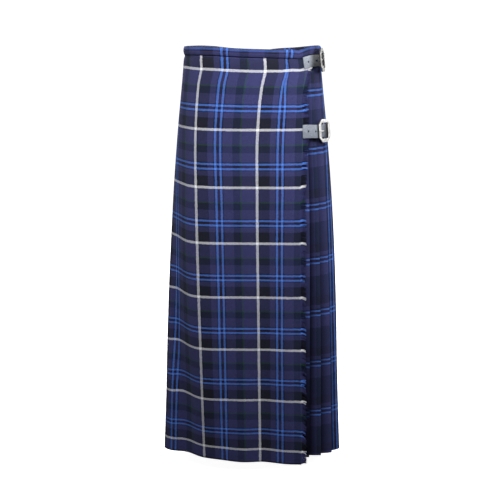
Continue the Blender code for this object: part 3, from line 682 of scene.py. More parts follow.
def stripes(tree, across, sett, cloth):
    """The yarn colour at a place in a sett."""
    share = math_node(tree, "FRACT", across)
    ramp = add_node(tree, "ShaderNodeValToRGB", {"Fac": share})
    ramp.color_ramp.interpolation = "CONSTANT"
    stops = ramp.color_ramp.elements
    while len(stops) > 1:
        stops.remove(stops[-1])
    for k, (start, yarn) in enumerate(sett):
        stop = stops[0] if k == 0 else stops.new(start)
        stop.position = start
        stop.color = (*getattr(cloth, yarn), 1.0)
    return ramp.outputs["Color"]


def mix_colour(tree, share, one, two, blend="MIX"):
    """A mix of two colours; a colour mix has its share, its colours and its result in these sockets."""
    sockets = {0: share, 6: one, 7: two}
    return add_node(tree, "ShaderNodeMix", sockets, data_type="RGBA", blend_type=blend).outputs[2]


def uv_axes(tree, name):
    """The two values of a UV layer."""
    layer = add_node(tree, "ShaderNodeUVMap", uv_map=name).outputs["UV"]
    axes = add_node(tree, "ShaderNodeSeparateXYZ", {"Vector": layer})
    return axes.outputs["X"], axes.outputs["Y"]


def object_place(tree):
    return add_node(tree, "ShaderNodeTexCoord").outputs["Object"]


def shade_colour(tree, shader, colour, shade):
    """Gives the shader a colour, darkened or lightened by a single value."""
    grey = add_node(tree, "ShaderNodeCombineXYZ", {0: shade, 1: shade, 2: shade}).outputs[0]
    tree.links.new(mix_colour(tree, 1.0, colour, grey, "MULTIPLY"), shader.inputs["Base Color"])


def noise(tree, vector, scale, detail=2.0):
    sockets = {"Vector": vector, "Scale": scale, "Detail": detail}
    return add_node(tree, "ShaderNodeTexNoise", sockets).outputs["Fac"]


def bump(tree, shader, height, distance, strength=1.0):
    node = add_node(tree, "ShaderNodeBump", {"Height": height, "Distance": distance, "Strength": strength})
    tree.links.new(node.outputs["Normal"], shader.inputs["Normal"])


TWILL_WARP, TWILL_WEFT = 60.0, 56.0  # ribs of the twill in one repeat
CLOTH_SHINE = 0.20
TWILL_FAINT, TWILL_STRONG = 0.22, 0.78  # how much of the weft shows between the ribs and on them


def tartan(name, warp, weft, cloth, folded=False):
    """Wool twill: warp and weft stripes that show through each other along the ribs."""
    made, tree, shader = new_material(name, 0.85)
    shader.inputs["Specular IOR Level"].default_value = CLOTH_SHINE
    shader.inputs["Sheen Weight"].default_value = 0.03
    shader.inputs["Sheen Roughness"].default_value = 0.55
    around, down = uv_axes(tree, UV_NAME)
    solid = object_place(tree)
    waver = remap(tree, noise(tree, solid, 260.0), 0.3, 0.7, -0.0035, 0.0035)
    warp_colour = stripes(tree, math_node(tree, "ADD", around, waver), warp, cloth)
    weft_colour = stripes(tree, math_node(tree, "ADD", down, waver), weft, cloth)
    ribs_around = math_node(tree, "MULTIPLY", around, TWILL_WARP)
    ribs_down = math_node(tree, "MULTIPLY", down, TWILL_WEFT)
    rib_count = math_node(tree, "ADD", ribs_around, ribs_down)
    rib = math_node(tree, "SINE", math_node(tree, "MULTIPLY", rib_count, math.tau))
    share = remap(tree, rib, -1.0, 1.0, TWILL_FAINT, TWILL_STRONG)
    woven = mix_colour(tree, share, warp_colour, weft_colour)
    mottle = remap(tree, noise(tree, solid, 420.0, 4.0), 0.25, 0.75, 0.80, 1.20)
    patches = remap(tree, noise(tree, solid, 16.0), 0.3, 0.7, 0.94, 1.06)
    shade = math_node(tree, "MULTIPLY", mottle, patches)
    # Painted shade: the fold's shade darkens the colour and dims the shine.
    if folded:  # both the colour and the shine fade deep in a fold
        lit = math_node(tree, "SUBTRACT", 1.0, uv_axes(tree, FOLD_SHADE_UV)[0])
        shade = math_node(tree, "MULTIPLY", shade, lit)
        tree.links.new(math_node(tree, "MULTIPLY", lit, CLOTH_SHINE), shader.inputs["Specular IOR Level"])
    shade_colour(tree, shader, woven, shade)
    fuzz = noise(tree, solid, 1500.0)
    relief = math_node(tree, "ADD", math_node(tree, "MULTIPLY", rib, 0.5), fuzz)
    bump(tree, shader, relief, 0.00018, 0.6)
    return made


STRAND_TWIST = 90.0  # the phase of a strand's twist over its length, in radians


def yarn_material(cloth):
    """The loose weft yarns of the fringe, each in its own row's colour."""
    made, tree, shader = new_material("kilt_fringe_yarn", 0.95)
    shader.inputs["Specular IOR Level"].default_value = 0.08
    shader.inputs["Sheen Weight"].default_value = 0.03
    along, down = uv_axes(tree, UV_NAME)
    colour = stripes(tree, down, SETT, cloth)
    mottle = remap(tree, noise(tree, object_place(tree), 900.0), 0.3, 0.7, 0.60, 0.98)
    shade_colour(tree, shader, colour, mottle)
    twist = math_node(tree, "SINE", math_node(tree, "MULTIPLY", along, STRAND_TWIST))
    bump(tree, shader, twist, 0.0001, 0.5)
    return made


PAINTED_FRAME_SHADE_BRIGHTNESS = 0.06  # how bright the leather is under its full painted shade, as a share of the rest


def leather_material(trim):
    """Grained leather, almost black where its attribute paints the shade of the buckle's frame on it."""
    made, tree, shader = new_material("kilt_leather", 0.5)
    solid = object_place(tree)
    cells = add_node(tree, "ShaderNodeTexVoronoi", {"Vector": solid, "Scale": 850.0}).outputs["Distance"]
    mottle = remap(tree, noise(tree, solid, 420.0, 5.0), 0.3, 0.7, 0.70, 1.25)
    grain = remap(tree, cells, 0.0, 0.7, 0.80, 1.08)
    # Painted shade: the attribute darkens the leather round the buckle.
    painted_frame_shade = add_node(tree, "ShaderNodeAttribute", attribute_name=PAINTED_FRAME_SHADE).outputs["Fac"]
    surface = math_node(tree, "MULTIPLY", mottle, grain)
    shade = math_node(tree, "MULTIPLY", surface, remap(tree, painted_frame_shade, 0.0, 1.0, 1.0, PAINTED_FRAME_SHADE_BRIGHTNESS))
    shade_colour(tree, shader, (*trim.leather, 1.0), shade)
    tree.links.new(remap(tree, mottle, 0.8, 1.15, 0.60, 0.42), shader.inputs["Roughness"])
    bump(tree, shader, cells, 0.00025, 0.7)
    return made


def pewter_material(name, trim, brightness):
    """Polished pewter at a given brightness; a dark copy of it paints shade on the buckles' side walls."""
    made, tree, shader = new_material(name, 0.25, 0.30)
    solid = object_place(tree)
    patina = remap(tree, noise(tree, solid, 170.0, 4.0), 0.38, 0.66, 1.0, 0.60)
    shade_colour(tree, shader, (*(channel * brightness for channel in trim.metal), 1.0), patina)
    brushed = noise(tree, solid, 700.0)
    tree.links.new(remap(tree, brushed, 0.3, 0.7, 0.30, 0.48), shader.inputs["Roughness"])
    bump(tree, shader, brushed, 0.00004, 0.5)
    return made


def material_once(name, make, *arguments):
    """A material by name, made the first time that it is asked for."""
    return bpy.data.materials.get(name) or make(*arguments)


def apron_tartan(cloth):
    return material_once("apron_tartan", lambda: tartan("apron_tartan", SETT, SETT, cloth))


def pleat_tartan(cloth):
    name = "pleat_tartan"
    return material_once(name, lambda: tartan(name, PLEAT_WARP, PLEAT_WEFT, cloth, folded=True))


def band_tartan(cloth):
    return material_once("band_tartan", lambda: tartan("band_tartan", BAND_WARP, BAND_WEFT, cloth))


# ================================================================ aprons
APRON_ROWS = 200
APRON_LEFT_COLUMNS, APRON_RIGHT_COLUMNS = 104, 26
RIPPLE_FROM = -0.35
RIPPLE = 0.0022
DROOP_FROM = -0.35
EDGE_BLEND = 0.03  # the ripples fade out over this much of the apron, at both of its edges
UNDER_ROWS, UNDER_COLUMNS = 110, 56
UNDER_SETT_SHIFT = 0.3


def ripple(height, s):
    """Soft waves that grow towards the hem."""
    grow = smooth_step((height - RIPPLE_FROM) / (HEM - RIPPLE_FROM))
    return RIPPLE * grow * (np.sin(s * 31.0 + height * 2.2) + 0.5 * np.sin(s * 67.0 - height * 3.0))


def cloth_edge(height):
    """The distance round to the last whole warp yarn, where the fringe starts."""
    share = float(smooth_step((height - RAVEL_FROM) / (RAVEL_TO - RAVEL_FROM)))
    return apron_ends(height)[0] - RAVEL * share


def weft_lift(height, s):
    """How far the weft is lifted near the rim."""
    at, lift = zip(*WEFT_LIFT)
    fade = 1.0 - float(smooth_step((height - WEFT_LIFT_FROM) / (WEFT_LIFT_TO - WEFT_LIFT_FROM)))
    return fade * np.interp(s, at, lift)


def edge_droop(height):
    """How far the weft sags at the free edge, which grows towards the hem."""
    return EDGE_DROOP * float(smooth_step((height - DROOP_FROM) / (HEM - DROOP_FROM)))


def dart_share(height):
    """How much of the dart's intake is left at a height."""
    return float(np.clip((height - DART_END) / (DART_TOP - DART_END), 0.0, 1.0))


def build_outer_apron(cloth):
    points, repeats, jumps = [], [], []
    for height in np.linspace(TOP_OF_CLOTH, HEM, APRON_ROWS):
        edge, end = cloth_edge(height), apron_ends(height)[1]
        at = line_places(height)
        seam = at[2] + (at[3] - at[2]) * DART_REPEAT / LINE_REPEATS[3]
        left = np.linspace(end, seam, APRON_LEFT_COLUMNS)
        right = np.linspace(seam, edge, APRON_RIGHT_COLUMNS + 1)[1:]
        s = np.concatenate([left, right])
        share = dart_share(height)
        dent = DART_DEPTH * min(1.0, share * 2.0) * np.exp(-(((s - seam) / DART_WIDTH) ** 2))
        near_edge = smooth_step((s - (edge - EDGE_BLEND)) / EDGE_BLEND)
        fade_left = smooth_step((s - end) / EDGE_BLEND)
        out = apron_out(height, s) - dent + pinch(height) + ripple(height, s) * (1 - near_edge) * fade_left
        points.append(place(height, s, out))
        droop = edge_droop(height) * smooth_step((s - (edge - EDGE_DROOP_WIDTH)) / EDGE_DROOP_WIDTH) ** 2
        down = (height - FIRST_WHITE_WEFT + droop - weft_lift(height, s)) / cloth.repeat_height
        repeats.append(np.stack([warp_repeat(height, s), down], axis=-1))
        jumps.append(share * DART_INTAKE / RIGHT_REPEAT)
    made = cloth_grid("apron_cloth", points, repeats, apron_tartan(cloth), APRON_LEFT_COLUMNS - 1, jumps)
    give_wall(made, cloth.thickness)
    finish_piece(made, "tartan", "outer_apron")


def build_under_apron(cloth):
    points, repeats = [], []
    for height in np.linspace(TOP_OF_CLOTH, HEM, UNDER_ROWS):
        start, end = under_ends(height)
        s = np.linspace(end, start, UNDER_COLUMNS)
        out = under_out(height, s) + pinch(height)
        points.append(place(height, s, out))
        down = np.full_like(s, (height - FIRST_WHITE_WEFT) / cloth.repeat_height)
        repeats.append(np.stack([s / cloth.repeat_width + UNDER_SETT_SHIFT, down], axis=-1))
    made = cloth_grid("under_apron_cloth", points, repeats, apron_tartan(cloth))
    give_wall(made, cloth.thickness)
    finish_piece(made, "tartan", "under_apron")
    middle = under_ends(MEASURED_AT)


# ================================================================ pleats
PLEAT_ROWS = 118
RETURN_STEPS = 3
FOLD_POINTS = 4
FACE_CROWN = 0.0008
# The points across a face: -1 is its hidden end, 0 is where it comes into sight, and 1 is its fold.
FACE_POINTS = (-1.0, -0.45, 0.0, 0.22, 0.48, 0.76)


def pleat_path(height):
    """The middle of the folded cloth at a height, as points of (distance round, out, place in the sett,
    how much painted shade darkens it, whether it is a fold)."""
    show, hidden = reveal(height), pleat_value(height, "hidden")
    floor, rise_up = pleat_floor(height), pleat_value(height, "rise")
    length = math.hypot(show + hidden, rise_up)
    back = math.hypot(hidden, rise_up)
    path = []
    for i in range(PLEATS):
        edge = first_edge(height) + i * show
        start = edge - show - hidden
        at_edge = PLEAT_EDGE_REPEATS[i % len(PLEAT_EDGE_REPEATS)]
        if i == LINED_FOLD:
            at_edge += by_height(PLEAT_SHIFT, height)
        # Painted shade: how much darker the cloth is deep in this fold, and the least that the first fold's
        # edge is darkened.
        deep = by_height(FIRST_FOLD_SHADES if i == 1 else FOLD_SHADES, height)
        at_least = by_height(FIRST_EDGE_SHADES, height) if i == 0 else 0.0
        covered = hidden / (show + hidden)
        for k, shown in enumerate(FACE_POINTS):
            t = covered + (1.0 - covered if shown > 0 else covered) * shown
            crown = FACE_CROWN * math.sin(math.pi * t)
            dark = max(deep * (1.0 - float(smooth_step(shown))), at_least)
            in_sett = at_edge - length * (1 - t) / PLEAT_REPEAT_WIDTH
            path.append((start + (edge - start) * t, floor + rise_up * t + crown, in_sett, dark, k == 0))
        path.append((edge, floor + rise_up, at_edge, at_least, True))
        for k in range(1, RETURN_STEPS if i < PLEATS - 1 else 2):
            t = k / RETURN_STEPS
            in_sett = at_edge + back * t / PLEAT_REPEAT_WIDTH
            path.append((edge - hidden * t, floor + rise_up * (1 - t), in_sett, deep, False))
    return path


def folded_sides(path, half):
    """Both faces of cloth along a path with sharp folds: a fold is round on its outside and one mitred
    point on its inside. Each point keeps its place in the sett and its painted shade."""
    points = [np.array(p[:2], float) for p in path]
    one, two = [], []
    for i, p in enumerate(points):
        kept = path[i][2:4]
        before = unit(p - points[i - 1]) if i else None
        after = unit(points[i + 1] - p) if i < len(points) - 1 else None
        if before is None or after is None or not path[i][4]:
            run = unit(sum(part for part in (before, after) if part is not None))
            normal = np.array([-run[1], run[0]])
            one.append((*(p + half * normal), *kept))
            two.append((*(p - half * normal), *kept))
            continue
        n1 = np.array([-before[1], before[0]])
        inside = unit(after - before)
        back = half / max(abs(inside @ n1), 0.02)
        turning = before[0] * after[1] - before[1] * after[0]
        first = -math.copysign(1.0, turning) * n1
        beside = first - (first @ -inside) * -inside
        beside /= max(np.linalg.norm(beside), 1e-9)
        half_turn = math.acos(max(-1.0, min(1.0, first @ -inside)))
        rounded = []
        for k in range(FOLD_POINTS):
            a = half_turn * (1 - 2 * k / (FOLD_POINTS - 1))
            rounded.append((*(p + half * (math.cos(a) * -inside + math.sin(a) * beside)), *kept))
        mitred = [(*(p + back * inside), *kept)] * FOLD_POINTS
        one.extend(mitred if turning > 0 else rounded)
        two.extend(rounded if turning > 0 else mitred)
    return one, two


def build_pleats(cloth):
    grids = ([], [])
    for height in np.linspace(TOP_OF_CLOTH, PLEAT_HEM, PLEAT_ROWS):
        down = (PLEAT_FIRST_BLUE - height) / PLEAT_REPEAT_HEIGHT
        for side, grid in zip(folded_sides(pleat_path(height), cloth.thickness / 2), grids):
            side = np.array(side)
            where = place(height, side[:, 0], side[:, 1] + pinch(height))
            level = np.full((len(side), 1), down)
            grid.append(np.concatenate([where, side[:, 2:3], level, side[:, 3:4]], axis=1))
    outer, inner = np.array(grids[0]), np.array(grids[1])
    rows, steps = outer.shape[:2]
    index = np.arange(rows * steps).reshape(rows, steps)
    shift = rows * steps
    faces = []
    for i in range(rows - 1):
        for j in range(steps - 1):
            a, b, c, d = index[i, j], index[i + 1, j], index[i + 1, j + 1], index[i, j + 1]
            faces.append((a, b, c, d))
            faces.append((d + shift, c + shift, b + shift, a + shift))
    for i in (0, rows - 1):
        for j in range(steps - 1):
            faces.append((index[i, j], index[i, j + 1], index[i, j + 1] + shift, index[i, j] + shift))
    for j in (0, steps - 1):
        for i in range(rows - 1):
            faces.append((index[i, j], index[i + 1, j], index[i + 1, j] + shift, index[i, j] + shift))
    both = np.concatenate([outer.reshape(-1, 6), inner.reshape(-1, 6)])
    faces = np.array(faces)
    sett, depth = both[faces][:, :, 3:5], both[faces][:, :, 5].ravel()
    made = add_mesh("pleated_cloth", both[:, :3], faces.tolist(), sett, pleat_tartan(cloth), 60)
    # A second UV layer carries the painted fold shade.
    fold_shade_layer = made.data.uv_layers.new(name=FOLD_SHADE_UV)
    fold_shade_layer.data.foreach_set("uv", np.stack([depth, depth], axis=1).ravel())
    made.data.uv_layers.active = made.data.uv_layers[UV_NAME]
    weld(made)
    finish_piece(made, "tartan", "pleats_right", "pleats_back", "pleats_left")
    hidden, rise_up = pleat_value(MEASURED_AT, "hidden"), pleat_value(MEASURED_AT, "rise")
    along, back = math.hypot(reveal(MEASURED_AT) + hidden, rise_up), math.hypot(hidden, rise_up)


# ================================================================ waistband
BAND_INSIDE = 0.016
BAND_STEP = 0.004
BAND_SWELL = 0.0005
BAND_ROLL = 0.0014
BAND_FACE_STEPS = (0.0, 0.15, 0.35, 0.55, 0.75, 0.92)
BAND_RIM_TURNS = (60, 90, 120)
BAND_BACK_STEPS = (0.1, 0.4, 0.7, 1.0)
# The place in the sett: up to the first at the top of the face, round the rim, and on the inside.
SETT_ON_FACE, SETT_ON_RIM, SETT_OVER_RIM, SETT_INSIDE = 0.90, 0.83, 0.07, 0.93


def build_band(name, node, top_span, low_span, outer_face, inner_face, cloth, repeat_at):
    """A strip of cloth down the outside, over the rim and down the inside."""
    steps = max(3, int(abs(top_span[1] - top_span[0]) / BAND_STEP))
    half = BAND_WALL / 2
    columns, repeats = [], []
    for s_top, s_low in zip(np.linspace(*top_span, steps + 1), np.linspace(*low_span, steps + 1)):
        profile, down = [], []
        for t in BAND_FACE_STEPS:
            height = -BAND_HEIGHT + t * (BAND_HEIGHT + TOP_OF_CLOTH)
            s = s_low + (s_top - s_low) * t
            swell = BAND_SWELL * math.sin(math.pi * t)
            out = float(outer_face(height, s)) + GAP + half + swell + pinch(height)
            profile.append(place(height, s, out))
            down.append((repeat_at(height, s), t * SETT_ON_FACE))
        face, back = float(outer_face(TOP_OF_CLOTH, s_top)), float(inner_face(TOP_OF_CLOTH, s_top))
        middle, radius = (face + back) / 2, (face - back) / 2 + GAP + half
        for turn in BAND_RIM_TURNS:
            over = place(TOP_OF_CLOTH, s_top, middle + radius * math.cos(math.radians(turn)))
            profile.append(over + np.array([0.0, 0.0, BAND_ROLL * math.sin(math.radians(turn))]))
            in_sett = SETT_ON_RIM + SETT_OVER_RIM * turn / BAND_RIM_TURNS[-1]
            down.append((repeat_at(TOP_OF_CLOTH, s_top), in_sett))
        for t in BAND_BACK_STEPS:
            height = TOP_OF_CLOTH - BAND_INSIDE * t
            s = s_top + (s_low - s_top) * t
            profile.append(place(height, s, float(inner_face(height, s)) - GAP - half + pinch(height)))
            down.append((repeat_at(TOP_OF_CLOTH, s_top), SETT_INSIDE))
        columns.append(profile)
        repeats.append(down)
    points = np.array(columns).transpose(1, 0, 2)[::-1]
    sett = np.array(repeats).transpose(1, 0, 2)[::-1]
    if top_span[1] < top_span[0]:
        points, sett = points[:, ::-1], sett[:, ::-1]
    made = cloth_grid(name, points, sett, band_tartan(cloth))
    give_wall(made, BAND_WALL, 0.0)
    finish_piece(made, "tartan_band", node)


def build_waistband(cloth):
    spans = {"apron": [], "pleats": []}
    for height in (TOP_OF_CLOTH, -BAND_HEIGHT):
        edge, last = apron_ends(height)[0], last_edge(height)
        spans["apron"].append((last - outline(height).length + 2 * GAP, edge))
        spans["pleats"].append((edge + 2 * GAP, last - GAP))
    build_band(
        "band_over_apron", "waistband_apron", *spans["apron"],
        lambda height, s: max(float(apron_out(height, s)), 0.0),
        lambda height, s: apron_out(height, s) - CLOTH,
        cloth, lambda height, s: float(warp_repeat(height, np.array(s))),
    )
    build_band(
        "band_over_pleats", "waistband_pleats", *spans["pleats"],
        lambda height, s: CLOTH / 4,
        lambda height, s: pleat_floor(height) - CLOTH / 2,
        cloth, lambda height, s: s / cloth.repeat_width,
    )
    under = [under_ends(height)[::-1] for height in (TOP_OF_CLOTH, -BAND_HEIGHT)]
    build_band(
        "band_over_under_apron", "waistband_under", *under,
        under_out,
        lambda height, s: under_out(height, s) - CLOTH,
        cloth, lambda height, s: s / cloth.repeat_width + UNDER_SETT_SHIFT,
    )


# ================================================================ fringe
FRINGE_TOP = -0.022
FRINGE_BOTTOM = HEM + 0.001
STRAND_SEED = 11
STRAND_STEPS = 4
STRAND_SIDES = 3
STRAND_ROOT = 0.0022  # how far a strand starts inside the cloth's edge
STRAND_TAPER = 0.35
WHITE_STRAND = 1.7  # how much thicker a white strand is
LOWEST_TIP = HEM - 0.004
TUFT_PITCH = 0.0052
TUFT_GATHER = 0.30
TUFT_DROOP, TUFT_SPREAD, TUFT_LENGTH = 0.30, 0.0012, (0.90, 1.06)
# How much single strands differ from their tuft.
STRAND_LENGTH, STRAND_SPREAD, STRAND_WANDER, STRAND_SAG = (0.90, 1.05), 0.0005, 0.0006, 0.0005
STRAND_JITTER = 0.4
STRAND_LEAN, STRAND_LEANS = 0.5, (-0.10, 0.14)
STRAND_CURL = 0.10
SAG_POWER, LEAN_POWER = 1.3, 1.2
EVEN_ABOVE_HEM = 0.08  # below this distance from the hem, the tufts droop more and more alike
HEM_DROOP, HEM_ROOM = (0.35, 1.0), 0.0035
# How far a strand reaches, and how far its tip hangs below its root, at heights down the edge.
STRAND_REACH = ((-0.96, 0.95), (-0.80, 0.92), (-0.50, 0.98), (-0.16, 1.06), (-0.10, 1.02), (-0.06, 0.74))
STRAND_DROOP = ((-0.96, 0.0160), (-0.80, 0.0125), (-0.43, 0.0055), (-0.28, 0.0022), (-0.02, 0.0016))
# How far a strand first rises from its root, before it droops.
STRAND_RAISE = ((-0.96, 0.0), (-0.93, 0.0022), (-0.28, 0.0024), (-0.12, 0.0008), (-0.06, 0.0))
HEM_STRANDS, HEM_TUFT = 120, 0.030  # more strands bunch in the last stretch above the hem


def build_fringe(cloth, fringe):
    """Loose weft yarns that stand out of the apron's edge and lean down towards the hem."""
    rng = np.random.default_rng(STRAND_SEED)
    verts, faces, sett = [], [], []
    tufts = int((FRINGE_TOP - FRINGE_BOTTOM) / TUFT_PITCH) + 2
    tuft_droop = rng.uniform(-TUFT_DROOP, TUFT_DROOP, tufts)
    tuft_spread = rng.normal(0.0, TUFT_SPREAD, tufts)
    tuft_length = rng.uniform(*TUFT_LENGTH, tufts)
    for i in range(fringe.strands):
        share = (i + rng.uniform(-STRAND_JITTER, STRAND_JITTER)) / (fringe.strands - HEM_STRANDS)
        height = FRINGE_TOP + (FRINGE_BOTTOM - FRINGE_TOP) * max(share, 0.0)
        if share > 1.0:
            height = FRINGE_BOTTOM + rng.uniform(0.0, HEM_TUFT)
        edge = cloth_edge(height)
        lift = edge_value(height, "lift")
        out = float(apron_out(height, edge)) - cloth.thickness / 2 + pinch(height)
        tuft = int((FRINGE_TOP - height) / TUFT_PITCH)
        to_middle = FRINGE_TOP - (tuft + 0.5) * TUFT_PITCH - height
        length = fringe.length * by_height(STRAND_REACH, height) * tuft_length[tuft]
        length *= rng.uniform(*STRAND_LENGTH)
        varied = tuft_droop[tuft] * min(1.0, (height - FRINGE_BOTTOM) / EVEN_ABOVE_HEM)
        droop = by_height(STRAND_DROOP, height) * (1.0 + varied) + rng.normal(0.0, STRAND_SAG)
        if height < FRINGE_BOTTOM + HEM_TUFT:
            droop = min(droop * rng.uniform(*HEM_DROOP), height - HEM + HEM_ROOM)
        lean = -(STRAND_LEAN + rng.uniform(*STRAND_LEANS)) * lift
        wander = TUFT_GATHER * to_middle + rng.normal(0.0, STRAND_WANDER)
        spread = tuft_spread[tuft] + rng.normal(0.0, STRAND_SPREAD)
        raised = by_height(STRAND_RAISE, height)
        down = (height - FIRST_WHITE_WEFT + edge_droop(height)) / cloth.repeat_height
        thick = fringe.radius * (WHITE_STRAND if down % 1.0 < SETT[1][0] else 1.0)
        rings = []
        for k in range(STRAND_STEPS + 1):
            t = k / STRAND_STEPS
            z = height + raised * min(1.0, 3.0 * t) - droop * t ** SAG_POWER + wander * t
            side = edge - STRAND_ROOT + (length + STRAND_ROOT) * t * (1 - STRAND_CURL * t)
            rings.append(place(max(z, LOWEST_TIP), side, out + lean * t ** LEAN_POWER + spread * t))
        rings = np.array(rings)
        base = len(verts)
        for k, middle in enumerate(rings):
            t = k / STRAND_STEPS
            ahead = unit(rings[min(k + 1, STRAND_STEPS)] - rings[max(k - 1, 0)])
            upward = unit(np.array([0.0, 0.0, 1.0]) - ahead[2] * ahead)
            outward = np.cross(ahead, upward)
            radius = thick * (1.0 - STRAND_TAPER * t)
            for c in range(STRAND_SIDES):
                a = math.tau * c / STRAND_SIDES
                verts.append(middle + radius * (math.cos(a) * upward + math.sin(a) * outward))
        for k in range(STRAND_STEPS):
            for c in range(STRAND_SIDES):
                a = base + STRAND_SIDES * k + c
                b = base + STRAND_SIDES * k + (c + 1) % STRAND_SIDES
                faces.append((a, b, b + STRAND_SIDES, a + STRAND_SIDES))
                t0, t1 = k / STRAND_STEPS, (k + 1) / STRAND_STEPS
                sett += [(t0, down), (t0, down), (t1, down), (t1, down)]
        faces.append((base + 2, base + 1, base))
        tip = base + STRAND_SIDES * STRAND_STEPS
        faces.append((tip, tip + 1, tip + 2))
        sett += [(0.0, down)] * STRAND_SIDES + [(1.0, down)] * STRAND_SIDES
    yarn = material_once("kilt_fringe_yarn", yarn_material, cloth)
    made = add_mesh("edge_fringe", verts, faces, sett, yarn, 80)
    bm = bmesh.new()
    bm.from_mesh(made.data)
    bmesh.ops.recalc_face_normals(bm, faces=bm.faces)
    bm.to_mesh(made.data)
    bm.free()
    finish_piece(made, "fringe_yarn", "apron_fringe")
    middle = apron_ends(MEASURED_AT)


# ================================================================ straps, chapes and prongs
class BuckleFrame:
    """A buckle's own axes: along its strap, up, and out from the body."""

    def __init__(self, row):
        turn = math.radians(row["turn_degrees"])
        level_out = np.array([math.sin(turn), -math.cos(turn), 0.0])
        upright = np.array([0.0, 0.0, 1.0])
        size = math.hypot(1.0, row["lean"])
        self.middle = np.array([row["middle_x"], row["middle_y"], row["buckle_z"]])
        self.along = np.array([math.cos(turn), math.sin(turn), 0.0])
        self.up = (upright - row["lean"] * level_out) / size
        self.out = (level_out + row["lean"] * upright) / size

    def at(self, along, up, out):
        return self.middle + along * self.along + up * self.up + out * self.out

    def matrix(self):
        turned = Matrix((self.along, self.up, self.out)).transposed().to_4x4()
        turned.translation = Vector(self.middle)
        return turned

    def stations(self, path):
        """The middle, the up side and the outward side at each point of a path of (along, out)."""
        made = []
        for i, (p, r) in enumerate(path):
            before, after = path[max(i - 1, 0)], path[min(i + 1, len(path) - 1)]
            run = unit(np.array([after[0] - before[0], after[1] - before[1]]))
            outward = -run[1] * self.along + run[0] * self.out
            made.append((self.at(p, 0.0, r), self.up, outward))
        return made


def station_on_body(height, s, slant, out_at, half_wide):
    """The same three for a band that lies on the body."""
    top, low = height + half_wide, height - half_wide
    above = place(top, s - slant / 2, out_at(top, s - slant / 2))
    below = place(low, s + slant / 2, out_at(low, s + slant / 2))
    up = unit(above - below)
    out = outline(height).out(np.array(s))
    outward = np.array([out[0], out[1], 0.0])
    outward -= (outward @ up) * up
    return (above + below) / 2, up, unit(outward)


def nearest_body(height, point):
    round_it = outline(height)
    half = OUTLINE_SAMPLES // 2
    gaps = np.hypot(round_it.x[:half] - point[0], round_it.y[:half] - point[1])
    return float(round_it.s[int(np.argmin(gaps))])


def through_buckle(trim):
    """The middle of the strap through the buckle: under the frame's ends and over the bar."""
    under = FRAME_BACK - GAP - trim.strap_thickness / 2
    over = BAR_OUT + BAR_RADIUS + 2 * GAP + CHAPE_THICK + trim.strap_thickness / 2
    past_frame = trim.buckle_length / 2 + STRAP_PAST_FRAME
    half = [(STRAP_OVER_BAR, over), (STRAP_UNDER_RAIL, under), (past_frame, under)]
    return [(-p, r) for p, r in reversed(half)] + half


def reached_at(middles):
    """The distance along a line at each of its points."""
    steps = np.linalg.norm(np.diff(middles, axis=0), axis=1)
    return np.concatenate([[0.0], np.cumsum(steps)])


def refine(stations, widths, spacing, smoothing):
    """Stations at even steps along a line through the given ones, with its corners eased."""
    middles = np.array([s[0] for s in stations])
    reached = reached_at(middles)
    count = int(reached[-1] / spacing) + 1
    fine = np.linspace(0.0, reached[-1], count)
    ups, outwards = np.array([s[1] for s in stations]), np.array([s[2] for s in stations])
    data = np.concatenate([middles, ups, outwards, np.array(widths)[:, None]], axis=1)
    rows = np.stack([np.interp(fine, reached, data[:, c]) for c in range(data.shape[1])], axis=1)
    for _ in range(smoothing):
        rows[1:-1] = (rows[:-2] + 2 * rows[1:-1] + rows[2:]) / 4
    return rows


def band_of_leather(name, rows, thick, edge_round, finish):
    """A closed band with rounded edges through rows of (middle, up, outward, half width)."""
    verts, faces = [], []
    half = thick / 2
    for row in rows:
        middle, wide = row[0:3], row[9]
        up = unit(row[3:6])
        outward = unit(row[6:9] - (row[6:9] @ up) * up)
        cut_in = edge_round * 0.3
        corners = (
            (wide - edge_round, half), (wide - cut_in, half - cut_in), (wide, half - edge_round),
            (wide, -half + edge_round), (wide - edge_round, -half), (-wide + edge_round, -half),
            (-wide, -half + edge_round), (-wide, half - edge_round),
            (-wide + cut_in, half - cut_in), (-wide + edge_round, half),
        )
        verts += [middle + a * up + b * outward for a, b in corners]
    count = len(corners)
    for k in range(len(rows) - 1):
        for c in range(count):
            d = (c + 1) % count
            faces.append((k * count + c, k * count + d, (k + 1) * count + d, (k + 1) * count + c))
    faces.append(tuple(range(count)))
    faces.append(tuple(reversed(range((len(rows) - 1) * count, len(rows) * count))))
    made = add_mesh(name, verts, faces, None, finish, 35)
    weld(made)
    return made


def cut(obj, cutter):
    """Takes a cutter away from a piece, and deletes it."""
    apply_modifier(obj, "BOOLEAN", operation="DIFFERENCE", object=cutter, solver="EXACT")
    bpy.data.objects.remove(cutter)
    obj.data.set_sharp_from_angle(angle=math.radians(35))


def hole_cutter(middle, run, side, normal, corners, depth):
    """A block to cut with: corners along run and side, as deep as asked for on both sides of its middle."""
    verts = [middle + normal * d + run * p + side * q for d in (-depth, depth) for p, q in corners]
    count = len(corners)
    faces = [(c, (c + 1) % count, (c + 1) % count + count, c + count) for c in range(count)]
    faces += [tuple(reversed(range(count))), tuple(range(count, 2 * count))]
    made = add_mesh("cutter", verts, faces, None, None)
    weld(made)
    return made


